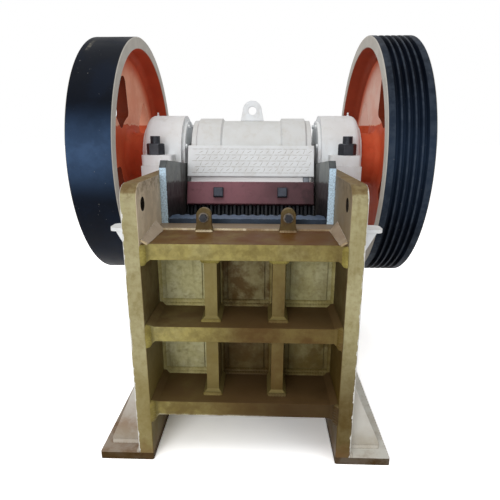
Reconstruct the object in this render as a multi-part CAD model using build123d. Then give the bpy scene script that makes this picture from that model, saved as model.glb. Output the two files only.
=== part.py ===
from build123d import *
import os
from math import atan2, cos, degrees, hypot, radians, sin

# Single-toggle jaw crusher with corrugated jaws, two flywheels and a welded frame.
# Millimetres. X runs across the machine, Y from the feed side to the rear, Z up.
# The origin is the middle of the anchor pattern on the floor.

# Whole machine
FRAME_WIDTH = 650.0
BASE_LENGTH = 1200.0
SEAT_HEIGHT = 850.0
SHAFT_RISE = 19.0
SEAT_FIT = 0.3
RUN_FIT = 0.05

# Side plates
PLATE_THICK = 46.0
PLATE_CORNER = 44.0
PLATE_EDGE = 7.0
PLATE_SHOULDER = 14.0
PLATE_REAR_DROP = 250.0
PLATE_REAR_CORNER = 60.0
EYE_SETBACK = 57.0
EYE_DROP = 60.0
EYE_RADIUS = 20.0

# Feet and their gussets
FOOT_THICK = 24.0
FOOT_REACH = 120.0
FOOT_CORNER = 6.0
ANCHOR_SETBACK = 200.0
ANCHOR_OUT = 72.0
ANCHOR_RADIUS = 14.0
GUSSET_SETBACK = 50.0
GUSSET_THICK = 18.0
GUSSET_REACH = 98.0
GUSSET_RISE = 207.0
GUSSET_TOE = 12.0

# Front wall and its ribs
WALL_SETBACK_SHARE = 0.16
WALL_THICK = 73.0
WALL_FOOT = 146.0
RIB_THICK = 46.0
RIB_SETBACK = 23.0
TOP_RIB_SLOPE = 2.0
MOUTH_DROP = 150.0
LEDGE_DROP = 7.0
LEDGE_RISE = 7.0
LEDGE_ROUND = 4.5
WELD_LEG = 14.0
WELD_RUN = 20.0
UPRIGHT_SETBACK = 78.0
UPRIGHT_THICK = 37.0
UPRIGHT_OUT = 99.5
UPRIGHT_WELD = 12.0
CORNER_FRONT_WIDTH = 20.0
CORNER_FRONT_RISE = 12.0
CORNER_REAR_WIDTH = 24.0
CORNER_REAR_RISE = 30.0

# Jaw plates
JAW_BODY = 57.0
TOOTH_HEIGHT = 16.0
TOOTH_COUNT = 16
TOOTH_CREST = 9.0
TOOTH_VALLEY = 8.0
JAW_SIDE_GAP = 2.0
JAW_PROUD = 16.0
GAPE_SHARE = 0.2083
DISCHARGE_GAP = 38.0
JAW_TOE_HEIGHT = 130.0
SWING_SIDE_GAP = 7.0

# Front lugs
LUG_OUT = 128.0
LUG_WIDTH = 45.0
LUG_BASE = 56.0
LUG_THICK = 22.0
LUG_FLARE = 24.0
LUG_RISE = 44.0
LUG_BOLT_DROP = 6.0
LUG_BOLT_RADIUS = 8.0
LUG_HEAD_FLATS = 22.0
LUG_HEAD_THICK = 10.0
LUG_NUT_FLATS = 26.0
LUG_NUT_THICK = 13.0
LUG_WASHER_RADIUS = 15.0
LUG_WASHER_THICK = 4.0

# Cheek plates
CHEEK_THICK = 22.0
CHEEK_RISE = 43.0
CHEEK_CHAMFER = 22.0
CHEEK_REAR_RISE = 8.0
CHEEK_FOOT = 120.0
CHEEK_TOP_BEYOND = 67.0
CHEEK_MOUTH_BEYOND = 52.0
CHEEK_FOOT_BEYOND = 79.0

# Side brackets
BRACKET_SETBACK = 110.0
BRACKET_DROP = 139.0
BRACKET_THICK = 11.0
BRACKET_REACH = 73.0
BRACKET_LENGTH = 64.0
BRACKET_CORNER = 18.0
BRACKET_GUSSET_DEPTH = 84.0
BRACKET_GUSSET_TOE = 10.0
BRACKET_GUSSET_THICK = 16.0
BRACKET_GUSSET_INSET = 4.0

# Bearing pedestals, housings and covers
PEDESTAL_WIDTH = 108.0
PEDESTAL_LENGTH = 490.0
PEDESTAL_SHOULDER = 100.0
PEDESTAL_DEPTH = 230.0
PEDESTAL_FOOT = 250.0
HOUSING_RADIUS = 178.0
HOUSING_INSET = 6.0
HOUSING_LENGTH = 157.0
HOUSING_ROUND = 26.0
FLANGE_THICK = 42.0
FLANGE_INSET = 31.0
FLANGE_WIDTH = 122.0
FLANGE_LENGTH = 486.0
FLANGE_CORNER = 14.0
STUD_SPACING = 422.0
STUD_RADIUS = 19.0
STUD_TOP = 114.0
STUD_DEPTH = 120.0
NUT_FLATS = 62.0
NUT_THICK = 44.0
INNER_COVER_RADIUS = 156.0
INNER_COVER_THICK = 12.0
OUTER_COVER_RADIUS = 138.0
OUTER_COVER_THICK = 11.0
COVER_SHAFT_GAP = 2.0

# Eccentric shaft
ECCENTRIC_THROW = 8.0
ECCENTRIC_RADIUS = 74.0
JOURNAL_RADIUS = 60.0
WHEEL_SEAT_RADIUS = 54.0
SHAFT_SHOULDER = 3.0
SHAFT_STUB = 14.0
SHAFT_CHAMFER = 4.0

# Flywheels
WHEEL_RADIUS = 486.0
WHEEL_WIDTH = 162.0
WHEEL_GAP = 8.0
RIM_THICK = 44.0
RIM_EDGE = 3.0
WEB_INSET = 74.0
WEB_THICK = 51.0
WEB_FILLET = 24.0
WEB_STUB = 30.0
HUB_RADIUS = 106.0
HUB_PROUD = 5.0
WINDOW_COUNT = 4
WINDOW_HUB_WALL = 70.0
WINDOW_RIM_WALL = 100.0
WINDOW_SPAN = 41.0
WINDOW_TURN = 28.0
WINDOW_CORNER = 26.0
GROOVE_COUNT = 5
GROOVE_PITCH = 23.5
GROOVE_TOP = 18.0
GROOVE_BOTTOM = 9.0
GROOVE_DEPTH = 16.0
KEY_WIDTH = 26.0
KEY_SEAT = 8.0
KEY_HEIGHT = 16.0
KEY_START = 20.0
KEY_PROUD = 9.0

# Pitman
PITMAN_SIDE_GAP = 12.0
BARREL_BAND_RADIUS = 175.0
BARREL_COVER = 17.0
BARREL_RADIUS = 165.0
BARREL_END_RADIUS = 166.0
BARREL_WAIST = 120.0
BARREL_COLLAR = 24.0
BAND_SLOPE = 6.0
CORE_THICK = 52.0
LIP_HEIGHT = 30.0
LIP_BACK = 30.0
CORE_TOP_SHARE = 0.55
SEAT_BLOCK_REAR = 275.0
SEAT_BLOCK_BOTTOM = 0.0
SEAT_BLOCK_TOP = 160.0
PITMAN_RIB_THICK = 26.0
PITMAN_RIB_OUT = 85.0
RIB_REAR_SHARE = 0.8
RIB_DROP_SHARE = 0.45
RIB_CORE_SHARE = 0.5

# Pitman front: wedge bar, head, guard plate, lifting eye
BAR_HEIGHT = 90.0
BAR_PROUD = 20.0
BAR_THICK = 42.0
BAR_EDGE = 3.0
BAR_BOLT_OUT = 125.0
BAR_BOLT_FLATS = 38.0
BAR_BOLT_HEAD = 17.0
HEAD_STRIP = 20.0
HEAD_INSET = 8.0
HEAD_PROUD = 6.0
GUARD_HEIGHT = 126.0
GUARD_THICK = 16.0
GUARD_EDGE = 3.0
EYE_PLATE_THICK = 26.0
EYE_PLATE_RADIUS = 41.0
EYE_PLATE_BASE = 50.0
EYE_PLATE_RISE = 42.0
EYE_PLATE_HOLE = 17.5

# Toggle, rear wall and tension rod
TOGGLE_THICK = 34.0
TOGGLE_WIDTH = 400.0
TOGGLE_REAR_INSET = 155.0
TOGGLE_HEIGHT_SHARE = 0.388
TOGGLE_FRONT_RISE = 85.0
TOGGLE_CLEAR = 5.0
TOGGLE_SLOT_DEPTH = 52.0
BLOCK_HEIGHT = 132.0
BLOCK_WIDTH = 460.0
REAR_WALL_INSET = 70.0
REAR_WALL_THICK = 45.0
REAR_WALL_FOOT = 64.0
REAR_WALL_DROP = 330.0
REAR_RIB_THICK = 36.0
ROD_RADIUS = 12.0
ROD_HEIGHT = 21.0
ROD_EMBED = 55.0
ROD_END = 140.0
ROD_CLEAR = 6.0
CUP_WALL = 7.0
CUP_LENGTH = 52.0
SPRING_RADIUS = 22.0
SPRING_WIRE = 7.0
SPRING_LENGTH = 96.0
SPRING_TURNS = 5.5
SPRING_GAP = 0.2
WASHER_RADIUS = 31.0
WASHER_THICK = 9.0
ROD_NUT_FLATS = 38.0
ROD_NUT_THICK = 22.0

# Planes and lines that several pieces share
FRONT_Y = -BASE_LENGTH / 2
REAR_Y = BASE_LENGTH / 2
SHAFT_Z = SEAT_HEIGHT + SHAFT_RISE
ECCENTRIC_Z = SHAFT_Z - ECCENTRIC_THROW
PLATE_OUT = FRAME_WIDTH / 2
PLATE_IN = PLATE_OUT - PLATE_THICK
CHEEK_IN = PLATE_IN - CHEEK_THICK
RIB_FRONT_Y = FRONT_Y + RIB_SETBACK
WALL_Y = FRONT_Y + BASE_LENGTH * WALL_SETBACK_SHARE
JAW_SEAT_Y = WALL_Y + WALL_THICK
FIXED_CREST_Y = JAW_SEAT_Y + JAW_BODY + TOOTH_HEIGHT
MOUTH_Z = SEAT_HEIGHT - MOUTH_DROP
WALL_TOP = MOUTH_Z - LEDGE_DROP
TOP_RIB_TOP = WALL_TOP - LEDGE_RISE
TOP_RIB_Z = TOP_RIB_TOP - RIB_THICK
RIB_PITCH = (TOP_RIB_Z - WALL_FOOT) / 2
SWING_HALF = CHEEK_IN - SWING_SIDE_GAP
PITMAN_HALF = CHEEK_IN - PITMAN_SIDE_GAP
HOUSING_IN = PLATE_IN + HOUSING_INSET
HOUSING_OUT = HOUSING_IN + HOUSING_LENGTH
WHEEL_IN = HOUSING_OUT + OUTER_COVER_THICK + WHEEL_GAP
WHEEL_OUT = WHEEL_IN + WHEEL_WIDTH
WEB_IN = WHEEL_IN + WEB_INSET
WEB_OUT = WEB_IN + WEB_THICK
RIM_INNER = WHEEL_RADIUS - RIM_THICK
WINDOW_INNER = HUB_RADIUS + WINDOW_HUB_WALL
WINDOW_OUTER = RIM_INNER - WINDOW_RIM_WALL

# The moving jaw's face runs from its toe at the discharge to the mouth.
TOE_Y = FIXED_CREST_Y + DISCHARGE_GAP
TOE_Z = JAW_TOE_HEIGHT
MOUTH_Y = FIXED_CREST_Y + BASE_LENGTH * GAPE_SHARE
JAW_LENGTH = hypot(MOUTH_Y - TOE_Y, MOUTH_Z - TOE_Z)
JAW_UP_Y = (MOUTH_Y - TOE_Y) / JAW_LENGTH
JAW_UP_Z = (MOUTH_Z - TOE_Z) / JAW_LENGTH
JAW_FRAME = Plane(origin=(0, TOE_Y, TOE_Z), x_dir=(1, 0, 0), z_dir=(0, JAW_UP_Y, JAW_UP_Z)).location

# The barrel lies behind the jaw's face, and the plates and pedestals go with the shaft.
BARREL_BACK = BARREL_BAND_RADIUS + BARREL_COVER
SHAFT_Y = TOE_Y + (BARREL_BACK + (ECCENTRIC_Z - TOE_Z) * JAW_UP_Y) / JAW_UP_Z
SHOULDER_Y = SHAFT_Y + PEDESTAL_LENGTH / 2 + PLATE_SHOULDER
BARREL_UP = (SHAFT_Y - TOE_Y) * JAW_UP_Y + (ECCENTRIC_Z - TOE_Z) * JAW_UP_Z
BAR_TOP = JAW_LENGTH + BAR_HEIGHT
GUARD_FOOT = BAR_TOP + HEAD_STRIP
GUARD_TOP = GUARD_FOOT + GUARD_HEIGHT
CORE_FRONT = JAW_BODY + TOOTH_HEIGHT
CORE_BACK = CORE_FRONT + CORE_THICK

# The toggle runs from the slot in the pitman up to the rear block.
SEAT_REAR_Y = TOE_Y + SEAT_BLOCK_REAR
SLOT_MID_Z = TOE_Z + TOGGLE_FRONT_RISE
TOGGLE_REAR_Y = REAR_Y - TOGGLE_REAR_INSET
TOGGLE_REAR_HEIGHT = SEAT_HEIGHT * TOGGLE_HEIGHT_SHARE
TOGGLE_FRONT_Y = SEAT_REAR_Y - TOGGLE_SLOT_DEPTH + ECCENTRIC_THROW + TOGGLE_CLEAR + TOGGLE_THICK / 2
TOGGLE_ANGLE = atan2(TOGGLE_REAR_HEIGHT - SLOT_MID_Z, TOGGLE_REAR_Y - TOGGLE_FRONT_Y)
TOGGLE_HALF_RISE = TOGGLE_THICK / 2 / cos(TOGGLE_ANGLE)
TOGGLE_MOUTH_Z = SLOT_MID_Z + (SEAT_REAR_Y - TOGGLE_FRONT_Y) * sin(TOGGLE_ANGLE) / cos(TOGGLE_ANGLE)
SLOT_TOP = TOGGLE_MOUTH_Z + TOGGLE_HALF_RISE + TOGGLE_CLEAR
SLOT_BOTTOM = SLOT_MID_Z - TOGGLE_HALF_RISE - ECCENTRIC_THROW - ECCENTRIC_THROW - TOGGLE_CLEAR
BLOCK_FRONT_Y = TOGGLE_REAR_Y + TOGGLE_THICK / 2 * sin(TOGGLE_ANGLE) + SEAT_FIT
REAR_WALL_Y = REAR_Y - REAR_WALL_INSET
REAR_WALL_BACK = REAR_WALL_Y + REAR_WALL_THICK
REAR_WALL_TOP = SEAT_HEIGHT - REAR_WALL_DROP
ROD_Z = TOE_Z + ROD_HEIGHT
ROD_HOLE = ROD_RADIUS + ECCENTRIC_THROW + ROD_CLEAR
CUP_INNER = SPRING_RADIUS + SPRING_WIRE / 2 + ECCENTRIC_THROW + ROD_CLEAR
SPRING_Y = REAR_WALL_BACK + ECCENTRIC_THROW + ROD_CLEAR
WASHER_Y = SPRING_Y + SPRING_LENGTH + SPRING_GAP


def block(x, y, z):
    """A box between three pairs of limits."""
    size = Box(x[1] - x[0], y[1] - y[0], z[1] - z[0])
    return Pos((x[0] + x[1]) / 2, (y[0] + y[1]) / 2, (z[0] + z[1]) / 2) * size


def side_shape(face, x_low, x_high):
    """A face drawn in Y and Z, thickened between two X limits."""
    return extrude(Plane.YZ.offset(x_low) * face, amount=x_high - x_low)


def outline(points):
    """A closed straight-sided face."""
    return make_face(Polyline(*points, close=True))


def rod_x(x_low, x_high, y, z, radius):
    """A round bar along X."""
    return side_shape(Pos(y, z) * Circle(radius), x_low, x_high)


def rod_y(y_low, y_high, x, z, radius):
    """A round bar along Y."""
    middle = (y_low + y_high) / 2
    return Pos(x, middle, z) * Rot(90, 0, 0) * Cylinder(radius, y_high - y_low)


def hexagon(flats):
    """A regular hexagon by its width across flats."""
    return RegularPolygon(flats / 2, 6, major_radius=False)


def flip(piece):
    """The same piece on the other side of the machine."""
    return mirror(piece, about=Plane.YZ)


def both(piece):
    """A piece and its twin on the other side."""
    return Compound(children=[piece, flip(piece)])


def side_plate():
    """One thick frame side with its bearing saddle and lifting hole."""
    corners = [
        (FRONT_Y, FOOT_THICK),
        (FRONT_Y, SEAT_HEIGHT),
        (SHOULDER_Y, SEAT_HEIGHT),
        (REAR_Y, SEAT_HEIGHT - PLATE_REAR_DROP),
        (REAR_Y, FOOT_THICK),
    ]
    face = outline(corners)
    face = fillet(face.vertices().group_by(Axis.X)[0].sort_by(Axis.Y)[-1], PLATE_CORNER)
    face = fillet(face.vertices().group_by(Axis.Y)[-1].sort_by(Axis.X)[-1], PLATE_REAR_CORNER)
    plate = side_shape(face, PLATE_IN, PLATE_OUT)
    outer = plate.faces().sort_by(Axis.X)[-1].edges()
    rounded = outer.filter_by_position(Axis.Z, FOOT_THICK + PLATE_EDGE, SEAT_HEIGHT + PLATE_EDGE)
    plate = fillet(rounded, PLATE_EDGE)
    plate -= rod_x(PLATE_IN, PLATE_OUT, SHAFT_Y, SHAFT_Z, HOUSING_RADIUS + SEAT_FIT)
    plate -= rod_x(PLATE_IN, PLATE_OUT, FRONT_Y + EYE_SETBACK, SEAT_HEIGHT - EYE_DROP, EYE_RADIUS)
    return plate


def foot():
    """One base plate under a side plate, with its anchor holes."""
    size = Rectangle(PLATE_THICK + FOOT_REACH, BASE_LENGTH)
    centre = PLATE_IN + (PLATE_THICK + FOOT_REACH) / 2
    plate = extrude(Pos(centre, 0) * fillet(size.vertices(), FOOT_CORNER), FOOT_THICK)
    for y in (FRONT_Y + ANCHOR_SETBACK, REAR_Y - ANCHOR_SETBACK):
        plate -= Pos(PLATE_OUT + ANCHOR_OUT, y, FOOT_THICK / 2) * Cylinder(ANCHOR_RADIUS, FOOT_THICK)
    return plate


def foot_gussets():
    """Triangular gussets between feet and side plates."""
    shape = outline([
        (PLATE_OUT, FOOT_THICK),
        (PLATE_OUT + GUSSET_REACH, FOOT_THICK),
        (PLATE_OUT + GUSSET_REACH, FOOT_THICK + GUSSET_TOE),
        (PLATE_OUT + GUSSET_TOE, FOOT_THICK + GUSSET_RISE),
        (PLATE_OUT, FOOT_THICK + GUSSET_RISE),
    ])
    solids = []
    first = FRONT_Y + GUSSET_SETBACK
    last = REAR_Y - GUSSET_SETBACK - GUSSET_THICK
    for y in (first, (first + last) / 2, last):
        gusset = extrude(Plane.XZ.offset(-y) * shape, amount=-GUSSET_THICK)
        solids += [gusset, flip(gusset)]
    return Compound(children=solids)


def front_wall():
    """The plate between the sides that carries the fixed jaw."""
    wall = block((-PLATE_IN, PLATE_IN), (WALL_Y, JAW_SEAT_Y), (WALL_FOOT, WALL_TOP))
    nose = wall.faces().sort_by(Axis.Z)[-1].edges().sort_by(Axis.Y)[0]
    return fillet(nose, LEDGE_ROUND)


def flare(face, wide_face):
    """A welded end that grows from one section to a wider one."""
    return loft([face, wide_face])


def front_rib(foot_z, top_slope, top_weld):
    """One horizontal rib with its flared weld at both side plates."""
    section = outline([
        (RIB_FRONT_Y, foot_z),
        (WALL_Y, foot_z),
        (WALL_Y, foot_z + RIB_THICK + top_slope),
        (RIB_FRONT_Y, foot_z + RIB_THICK),
    ])
    weld = outline([
        (RIB_FRONT_Y - WELD_LEG, foot_z - WELD_LEG),
        (WALL_Y, foot_z - WELD_LEG),
        (WALL_Y, foot_z + RIB_THICK + top_slope + top_weld),
        (RIB_FRONT_Y - WELD_LEG, foot_z + RIB_THICK + top_weld),
    ])
    inner = PLATE_IN - WELD_RUN
    rib = side_shape(section, -inner, inner)
    end = flare(Plane.YZ.offset(inner) * section, Plane.YZ.offset(PLATE_IN) * weld)
    return rib + end + flip(end)


def upright(foot_z):
    """One vertical stiffener between two ribs, with a weld at foot and head."""
    front = FRONT_Y + UPRIGHT_SETBACK
    low = foot_z + RIB_THICK
    high = foot_z + RIB_PITCH
    middle = (front + WALL_Y) / 2
    depth = WALL_Y - front
    slim = Pos(UPRIGHT_OUT, middle) * Rectangle(UPRIGHT_THICK, depth)
    wide_size = Rectangle(UPRIGHT_THICK + UPRIGHT_WELD + UPRIGHT_WELD, depth + UPRIGHT_WELD)
    wide = Pos(UPRIGHT_OUT, middle - UPRIGHT_WELD / 2) * wide_size
    bar = Pos(0, 0, low + UPRIGHT_WELD) * extrude(slim, high - low - UPRIGHT_WELD - UPRIGHT_WELD)
    base = flare(Pos(0, 0, low) * wide, Pos(0, 0, low + UPRIGHT_WELD) * slim)
    head = flare(Pos(0, 0, high - UPRIGHT_WELD) * slim, Pos(0, 0, high) * wide)
    return base + bar + head


def feed_corner():
    """The filled corner between the sloping top rib and a side plate."""
    weld_lift = TOP_RIB_SLOPE * WELD_LEG / (WALL_Y - RIB_FRONT_Y + WELD_LEG)
    stations = (
        (RIB_FRONT_Y, TOP_RIB_TOP + weld_lift, CORNER_FRONT_WIDTH, CORNER_FRONT_RISE),
        (WALL_Y, TOP_RIB_TOP + TOP_RIB_SLOPE, CORNER_REAR_WIDTH, CORNER_REAR_RISE),
    )
    faces = []
    for y, foot_z, width, rise in stations:
        corner = outline([(PLATE_IN - width, foot_z), (PLATE_IN, foot_z), (PLATE_IN, foot_z + rise)])
        faces.append(Plane.XZ.offset(-y) * corner)
    return loft(faces)


def toothed_face(half_width, phase):
    """Plan of a corrugated jaw plate: teeth crests at zero, flat back behind."""
    pitch = (half_width + half_width) / TOOTH_COUNT
    points = []
    for i in range(TOOTH_COUNT):
        start = -half_width + i * pitch
        middle = start + pitch / 2
        high, low = (0, TOOTH_HEIGHT) if phase else (TOOTH_HEIGHT, 0)
        edge = TOOTH_CREST / 2 if phase else TOOTH_VALLEY / 2
        inner = TOOTH_VALLEY / 2 if phase else TOOTH_CREST / 2
        points += [
            (start, high),
            (start + edge, high),
            (middle - inner, low),
            (middle + inner, low),
            (start + pitch - edge, high),
        ]
    points += [
        (half_width, TOOTH_HEIGHT if not phase else 0),
        (half_width, TOOTH_HEIGHT + JAW_BODY),
        (-half_width, TOOTH_HEIGHT + JAW_BODY),
    ]
    return outline(points)


def fixed_jaw():
    """The corrugated plate on the front wall."""
    face = toothed_face(CHEEK_IN - JAW_SIDE_GAP, False)
    plate = extrude(face, WALL_TOP + JAW_PROUD - WALL_FOOT)
    return Pos(0, FIXED_CREST_Y, WALL_FOOT) * Rot(0, 0, 180) * plate


def moving_jaw():
    """The corrugated plate on the pitman."""
    return JAW_FRAME * extrude(toothed_face(SWING_HALF, True), JAW_LENGTH)


def front_lug(rib):
    """One rounded lug that stands on the top rib in front of the ledge, bored for its bolt."""
    middle = WALL_TOP + LUG_RISE
    shape = outline([
        (LUG_OUT - LUG_BASE / 2, TOP_RIB_TOP),
        (LUG_OUT + LUG_BASE / 2, TOP_RIB_TOP),
        (LUG_OUT + LUG_WIDTH / 2, TOP_RIB_TOP + LUG_FLARE),
        (LUG_OUT + LUG_WIDTH / 2, middle),
        (LUG_OUT - LUG_WIDTH / 2, middle),
        (LUG_OUT - LUG_WIDTH / 2, TOP_RIB_TOP + LUG_FLARE),
    ])
    shape += Pos(LUG_OUT, middle) * Circle(LUG_WIDTH / 2)
    shape -= Pos(LUG_OUT, middle - LUG_BOLT_DROP) * Circle(LUG_BOLT_RADIUS + SEAT_FIT)
    return extrude(Plane.XZ.offset(LUG_THICK - WALL_Y) * shape, amount=-LUG_THICK) - rib


def lug_bolt():
    """One bolt through a front lug: washer and hex head in front, nut behind."""
    front = WALL_Y - LUG_THICK
    centre = Pos(LUG_OUT, WALL_TOP + LUG_RISE - LUG_BOLT_DROP)
    seat = front - LUG_WASHER_THICK
    washer = extrude(Plane.XZ.offset(-front) * centre * Circle(LUG_WASHER_RADIUS), amount=LUG_WASHER_THICK)
    head = extrude(Plane.XZ.offset(-seat) * centre * hexagon(LUG_HEAD_FLATS), amount=LUG_HEAD_THICK)
    shank = extrude(Plane.XZ.offset(-front) * centre * Circle(LUG_BOLT_RADIUS), amount=-LUG_THICK)
    nut = extrude(Plane.XZ.offset(-WALL_Y) * centre * hexagon(LUG_NUT_FLATS), amount=-LUG_NUT_THICK)
    return washer + head + shank + nut


def cheek():
    """One wear plate at the side of the crushing chamber."""
    front = JAW_SEAT_Y
    top = SEAT_HEIGHT + CHEEK_RISE
    face = outline([
        (front, CHEEK_FOOT),
        (front, top - CHEEK_CHAMFER),
        (front + CHEEK_CHAMFER, top),
        (MOUTH_Y + CHEEK_TOP_BEYOND, SEAT_HEIGHT + CHEEK_REAR_RISE),
        (MOUTH_Y + CHEEK_MOUTH_BEYOND, MOUTH_Z),
        (TOE_Y + CHEEK_FOOT_BEYOND, CHEEK_FOOT),
    ])
    return side_shape(face, CHEEK_IN, PLATE_IN)


def bracket():
    """One shelf on the outside of a side plate: a level plate over a gusset."""
    front = FRONT_Y + BRACKET_SETBACK
    foot_z = SEAT_HEIGHT - BRACKET_DROP - BRACKET_THICK
    size = Rectangle(BRACKET_REACH, BRACKET_LENGTH)
    size = fillet(size.vertices().group_by(Axis.X)[-1], BRACKET_CORNER)
    plate = Pos(PLATE_OUT + BRACKET_REACH / 2, front + BRACKET_LENGTH / 2, foot_z) * extrude(size, BRACKET_THICK)
    shape = outline([
        (PLATE_OUT, foot_z),
        (PLATE_OUT + BRACKET_REACH - BRACKET_CORNER, foot_z),
        (PLATE_OUT + BRACKET_GUSSET_TOE, foot_z - BRACKET_GUSSET_DEPTH),
        (PLATE_OUT, foot_z - BRACKET_GUSSET_DEPTH),
    ])
    gusset_y = front + BRACKET_GUSSET_INSET
    return plate + extrude(Plane.XZ.offset(-gusset_y) * shape, amount=-BRACKET_GUSSET_THICK)


def pedestal():
    """One saddle on the outside of a side plate that carries a bearing housing."""
    half = PEDESTAL_LENGTH / 2
    shape = outline([
        (SHAFT_Y - half, SEAT_HEIGHT),
        (SHAFT_Y + half, SEAT_HEIGHT),
        (SHAFT_Y + half, SEAT_HEIGHT - PEDESTAL_SHOULDER),
        (SHAFT_Y + PEDESTAL_FOOT / 2, SEAT_HEIGHT - PEDESTAL_DEPTH),
        (SHAFT_Y - PEDESTAL_FOOT / 2, SEAT_HEIGHT - PEDESTAL_DEPTH),
        (SHAFT_Y - half, SEAT_HEIGHT - PEDESTAL_SHOULDER),
    ])
    shape -= Pos(SHAFT_Y, SHAFT_Z) * Circle(HOUSING_RADIUS + SEAT_FIT)
    body = side_shape(shape, PLATE_OUT, PLATE_OUT + PEDESTAL_WIDTH)
    for y in stud_places():
        body -= Pos(stud_x(), y, SEAT_HEIGHT - STUD_DEPTH / 2) * Cylinder(STUD_RADIUS + SEAT_FIT, STUD_DEPTH)
    return body


def stud_places():
    """Where the two studs of a housing stand along Y."""
    return (SHAFT_Y - STUD_SPACING / 2, SHAFT_Y + STUD_SPACING / 2)


def stud_x():
    """Distance of the studs from the middle of the machine."""
    return PLATE_OUT + PEDESTAL_WIDTH / 2


def housing():
    """One bearing housing: round body, flange with stud holes, bore for the shaft."""
    body = rod_x(HOUSING_IN, HOUSING_OUT, SHAFT_Y, SHAFT_Z, HOUSING_RADIUS)
    body = fillet(body.edges().sort_by(Axis.X)[-1], HOUSING_ROUND)
    size = Rectangle(FLANGE_WIDTH, FLANGE_LENGTH)
    low_x = PLATE_IN + FLANGE_INSET
    flange = Pos(low_x + FLANGE_WIDTH / 2, SHAFT_Y, SEAT_HEIGHT)
    body += flange * extrude(fillet(size.vertices(), FLANGE_CORNER), FLANGE_THICK)
    for y in stud_places():
        body -= Pos(stud_x(), y, SEAT_HEIGHT + FLANGE_THICK / 2) * Cylinder(STUD_RADIUS + SEAT_FIT, FLANGE_THICK)
    return body - rod_x(HOUSING_IN, HOUSING_OUT, SHAFT_Y, SHAFT_Z, JOURNAL_RADIUS + RUN_FIT)


def stud_set(make):
    """The same small piece at all four studs."""
    solids = []
    for y in stud_places():
        piece = make(y)
        solids += [piece, flip(piece)]
    return Compound(children=solids)


def stud(y):
    """One stud from the pedestal up through the nut."""
    length = STUD_DEPTH + STUD_TOP
    return Pos(stud_x(), y, SEAT_HEIGHT - STUD_DEPTH + length / 2) * Cylinder(STUD_RADIUS, length)


def stud_nut(y):
    """One hex nut on a housing flange."""
    shape = hexagon(NUT_FLATS) - Circle(STUD_RADIUS + SEAT_FIT)
    return Pos(stud_x(), y, SEAT_HEIGHT + FLANGE_THICK) * extrude(shape, NUT_THICK)


def inner_cover():
    """The cover on a housing's inner end."""
    ring = Circle(INNER_COVER_RADIUS) - Circle(JOURNAL_RADIUS + COVER_SHAFT_GAP)
    return side_shape(Pos(SHAFT_Y, SHAFT_Z) * ring, HOUSING_IN - INNER_COVER_THICK, HOUSING_IN)


def outer_cover():
    """The cover on a housing's outer end."""
    ring = Circle(OUTER_COVER_RADIUS) - Circle(JOURNAL_RADIUS + COVER_SHAFT_GAP)
    return side_shape(Pos(SHAFT_Y, SHAFT_Z) * ring, HOUSING_OUT, HOUSING_OUT + OUTER_COVER_THICK)


def shaft():
    """The shaft with its eccentric in the middle and a keyed seat at each end."""
    swing = PITMAN_HALF + SHAFT_SHOULDER
    end = WHEEL_OUT + HUB_PROUD + SHAFT_STUB
    hub_face = WHEEL_IN - HUB_PROUD
    body = rod_x(-swing, swing, SHAFT_Y, ECCENTRIC_Z, ECCENTRIC_RADIUS)
    body += rod_x(-hub_face, hub_face, SHAFT_Y, SHAFT_Z, JOURNAL_RADIUS)
    seat = rod_x(-end, end, SHAFT_Y, SHAFT_Z, WHEEL_SEAT_RADIUS)
    ends = seat.edges().group_by(Axis.X)
    body += chamfer(ends[0] + ends[-1], SHAFT_CHAMFER)
    slot = key_block(SHAFT_Z + WHEEL_SEAT_RADIUS - KEY_SEAT, SHAFT_Z + WHEEL_RADIUS)
    return body - slot - flip(slot)


def key_block(low_z, high_z):
    """The room a key takes between shaft and hub."""
    half = KEY_WIDTH / 2
    return block((WHEEL_IN + KEY_START, WHEEL_OUT + HUB_PROUD + KEY_PROUD), (SHAFT_Y - half, SHAFT_Y + half),
                 (low_z, high_z))


def key():
    """One gib key."""
    low_z = SHAFT_Z + WHEEL_SEAT_RADIUS - KEY_SEAT
    return key_block(low_z, low_z + KEY_HEIGHT)


def wheel_turned(face):
    """A wheel's section carried round the shaft."""
    return Pos(0, SHAFT_Y, SHAFT_Z) * revolve(face, axis=Axis.X)


def wheel_section():
    """Half the section of a flywheel casting: hub, web with rounded roots, rim."""
    hub_in = WHEEL_IN - HUB_PROUD
    hub_out = WHEEL_OUT + HUB_PROUD
    face = outline([
        (hub_in, WHEEL_SEAT_RADIUS),
        (hub_out, WHEEL_SEAT_RADIUS),
        (hub_out, HUB_RADIUS),
        (WEB_OUT, HUB_RADIUS),
        (WEB_OUT, RIM_INNER),
        (WHEEL_OUT, RIM_INNER),
        (WHEEL_OUT, WHEEL_RADIUS),
        (WHEEL_IN, WHEEL_RADIUS),
        (WHEEL_IN, RIM_INNER),
        (WEB_IN, RIM_INNER),
        (WEB_IN, HUB_RADIUS),
        (hub_in, HUB_RADIUS),
    ])
    roots = face.vertices().filter_by_position(Axis.X, WEB_IN, WEB_OUT)
    face = fillet(roots, WEB_FILLET)
    tips = face.vertices().filter_by_position(Axis.Y, RIM_INNER, WHEEL_RADIUS)
    return chamfer(tips.group_by(Axis.X)[0] + tips.group_by(Axis.X)[-1], RIM_EDGE)


def section_between(low, high):
    """The part of a wheel's section between two radii."""
    width = WHEEL_OUT - WHEEL_IN + HUB_PROUD + HUB_PROUD
    band = Pos((WHEEL_IN + WHEEL_OUT) / 2, (low + high) / 2) * Rectangle(width, high - low)
    return wheel_section() & band


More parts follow.
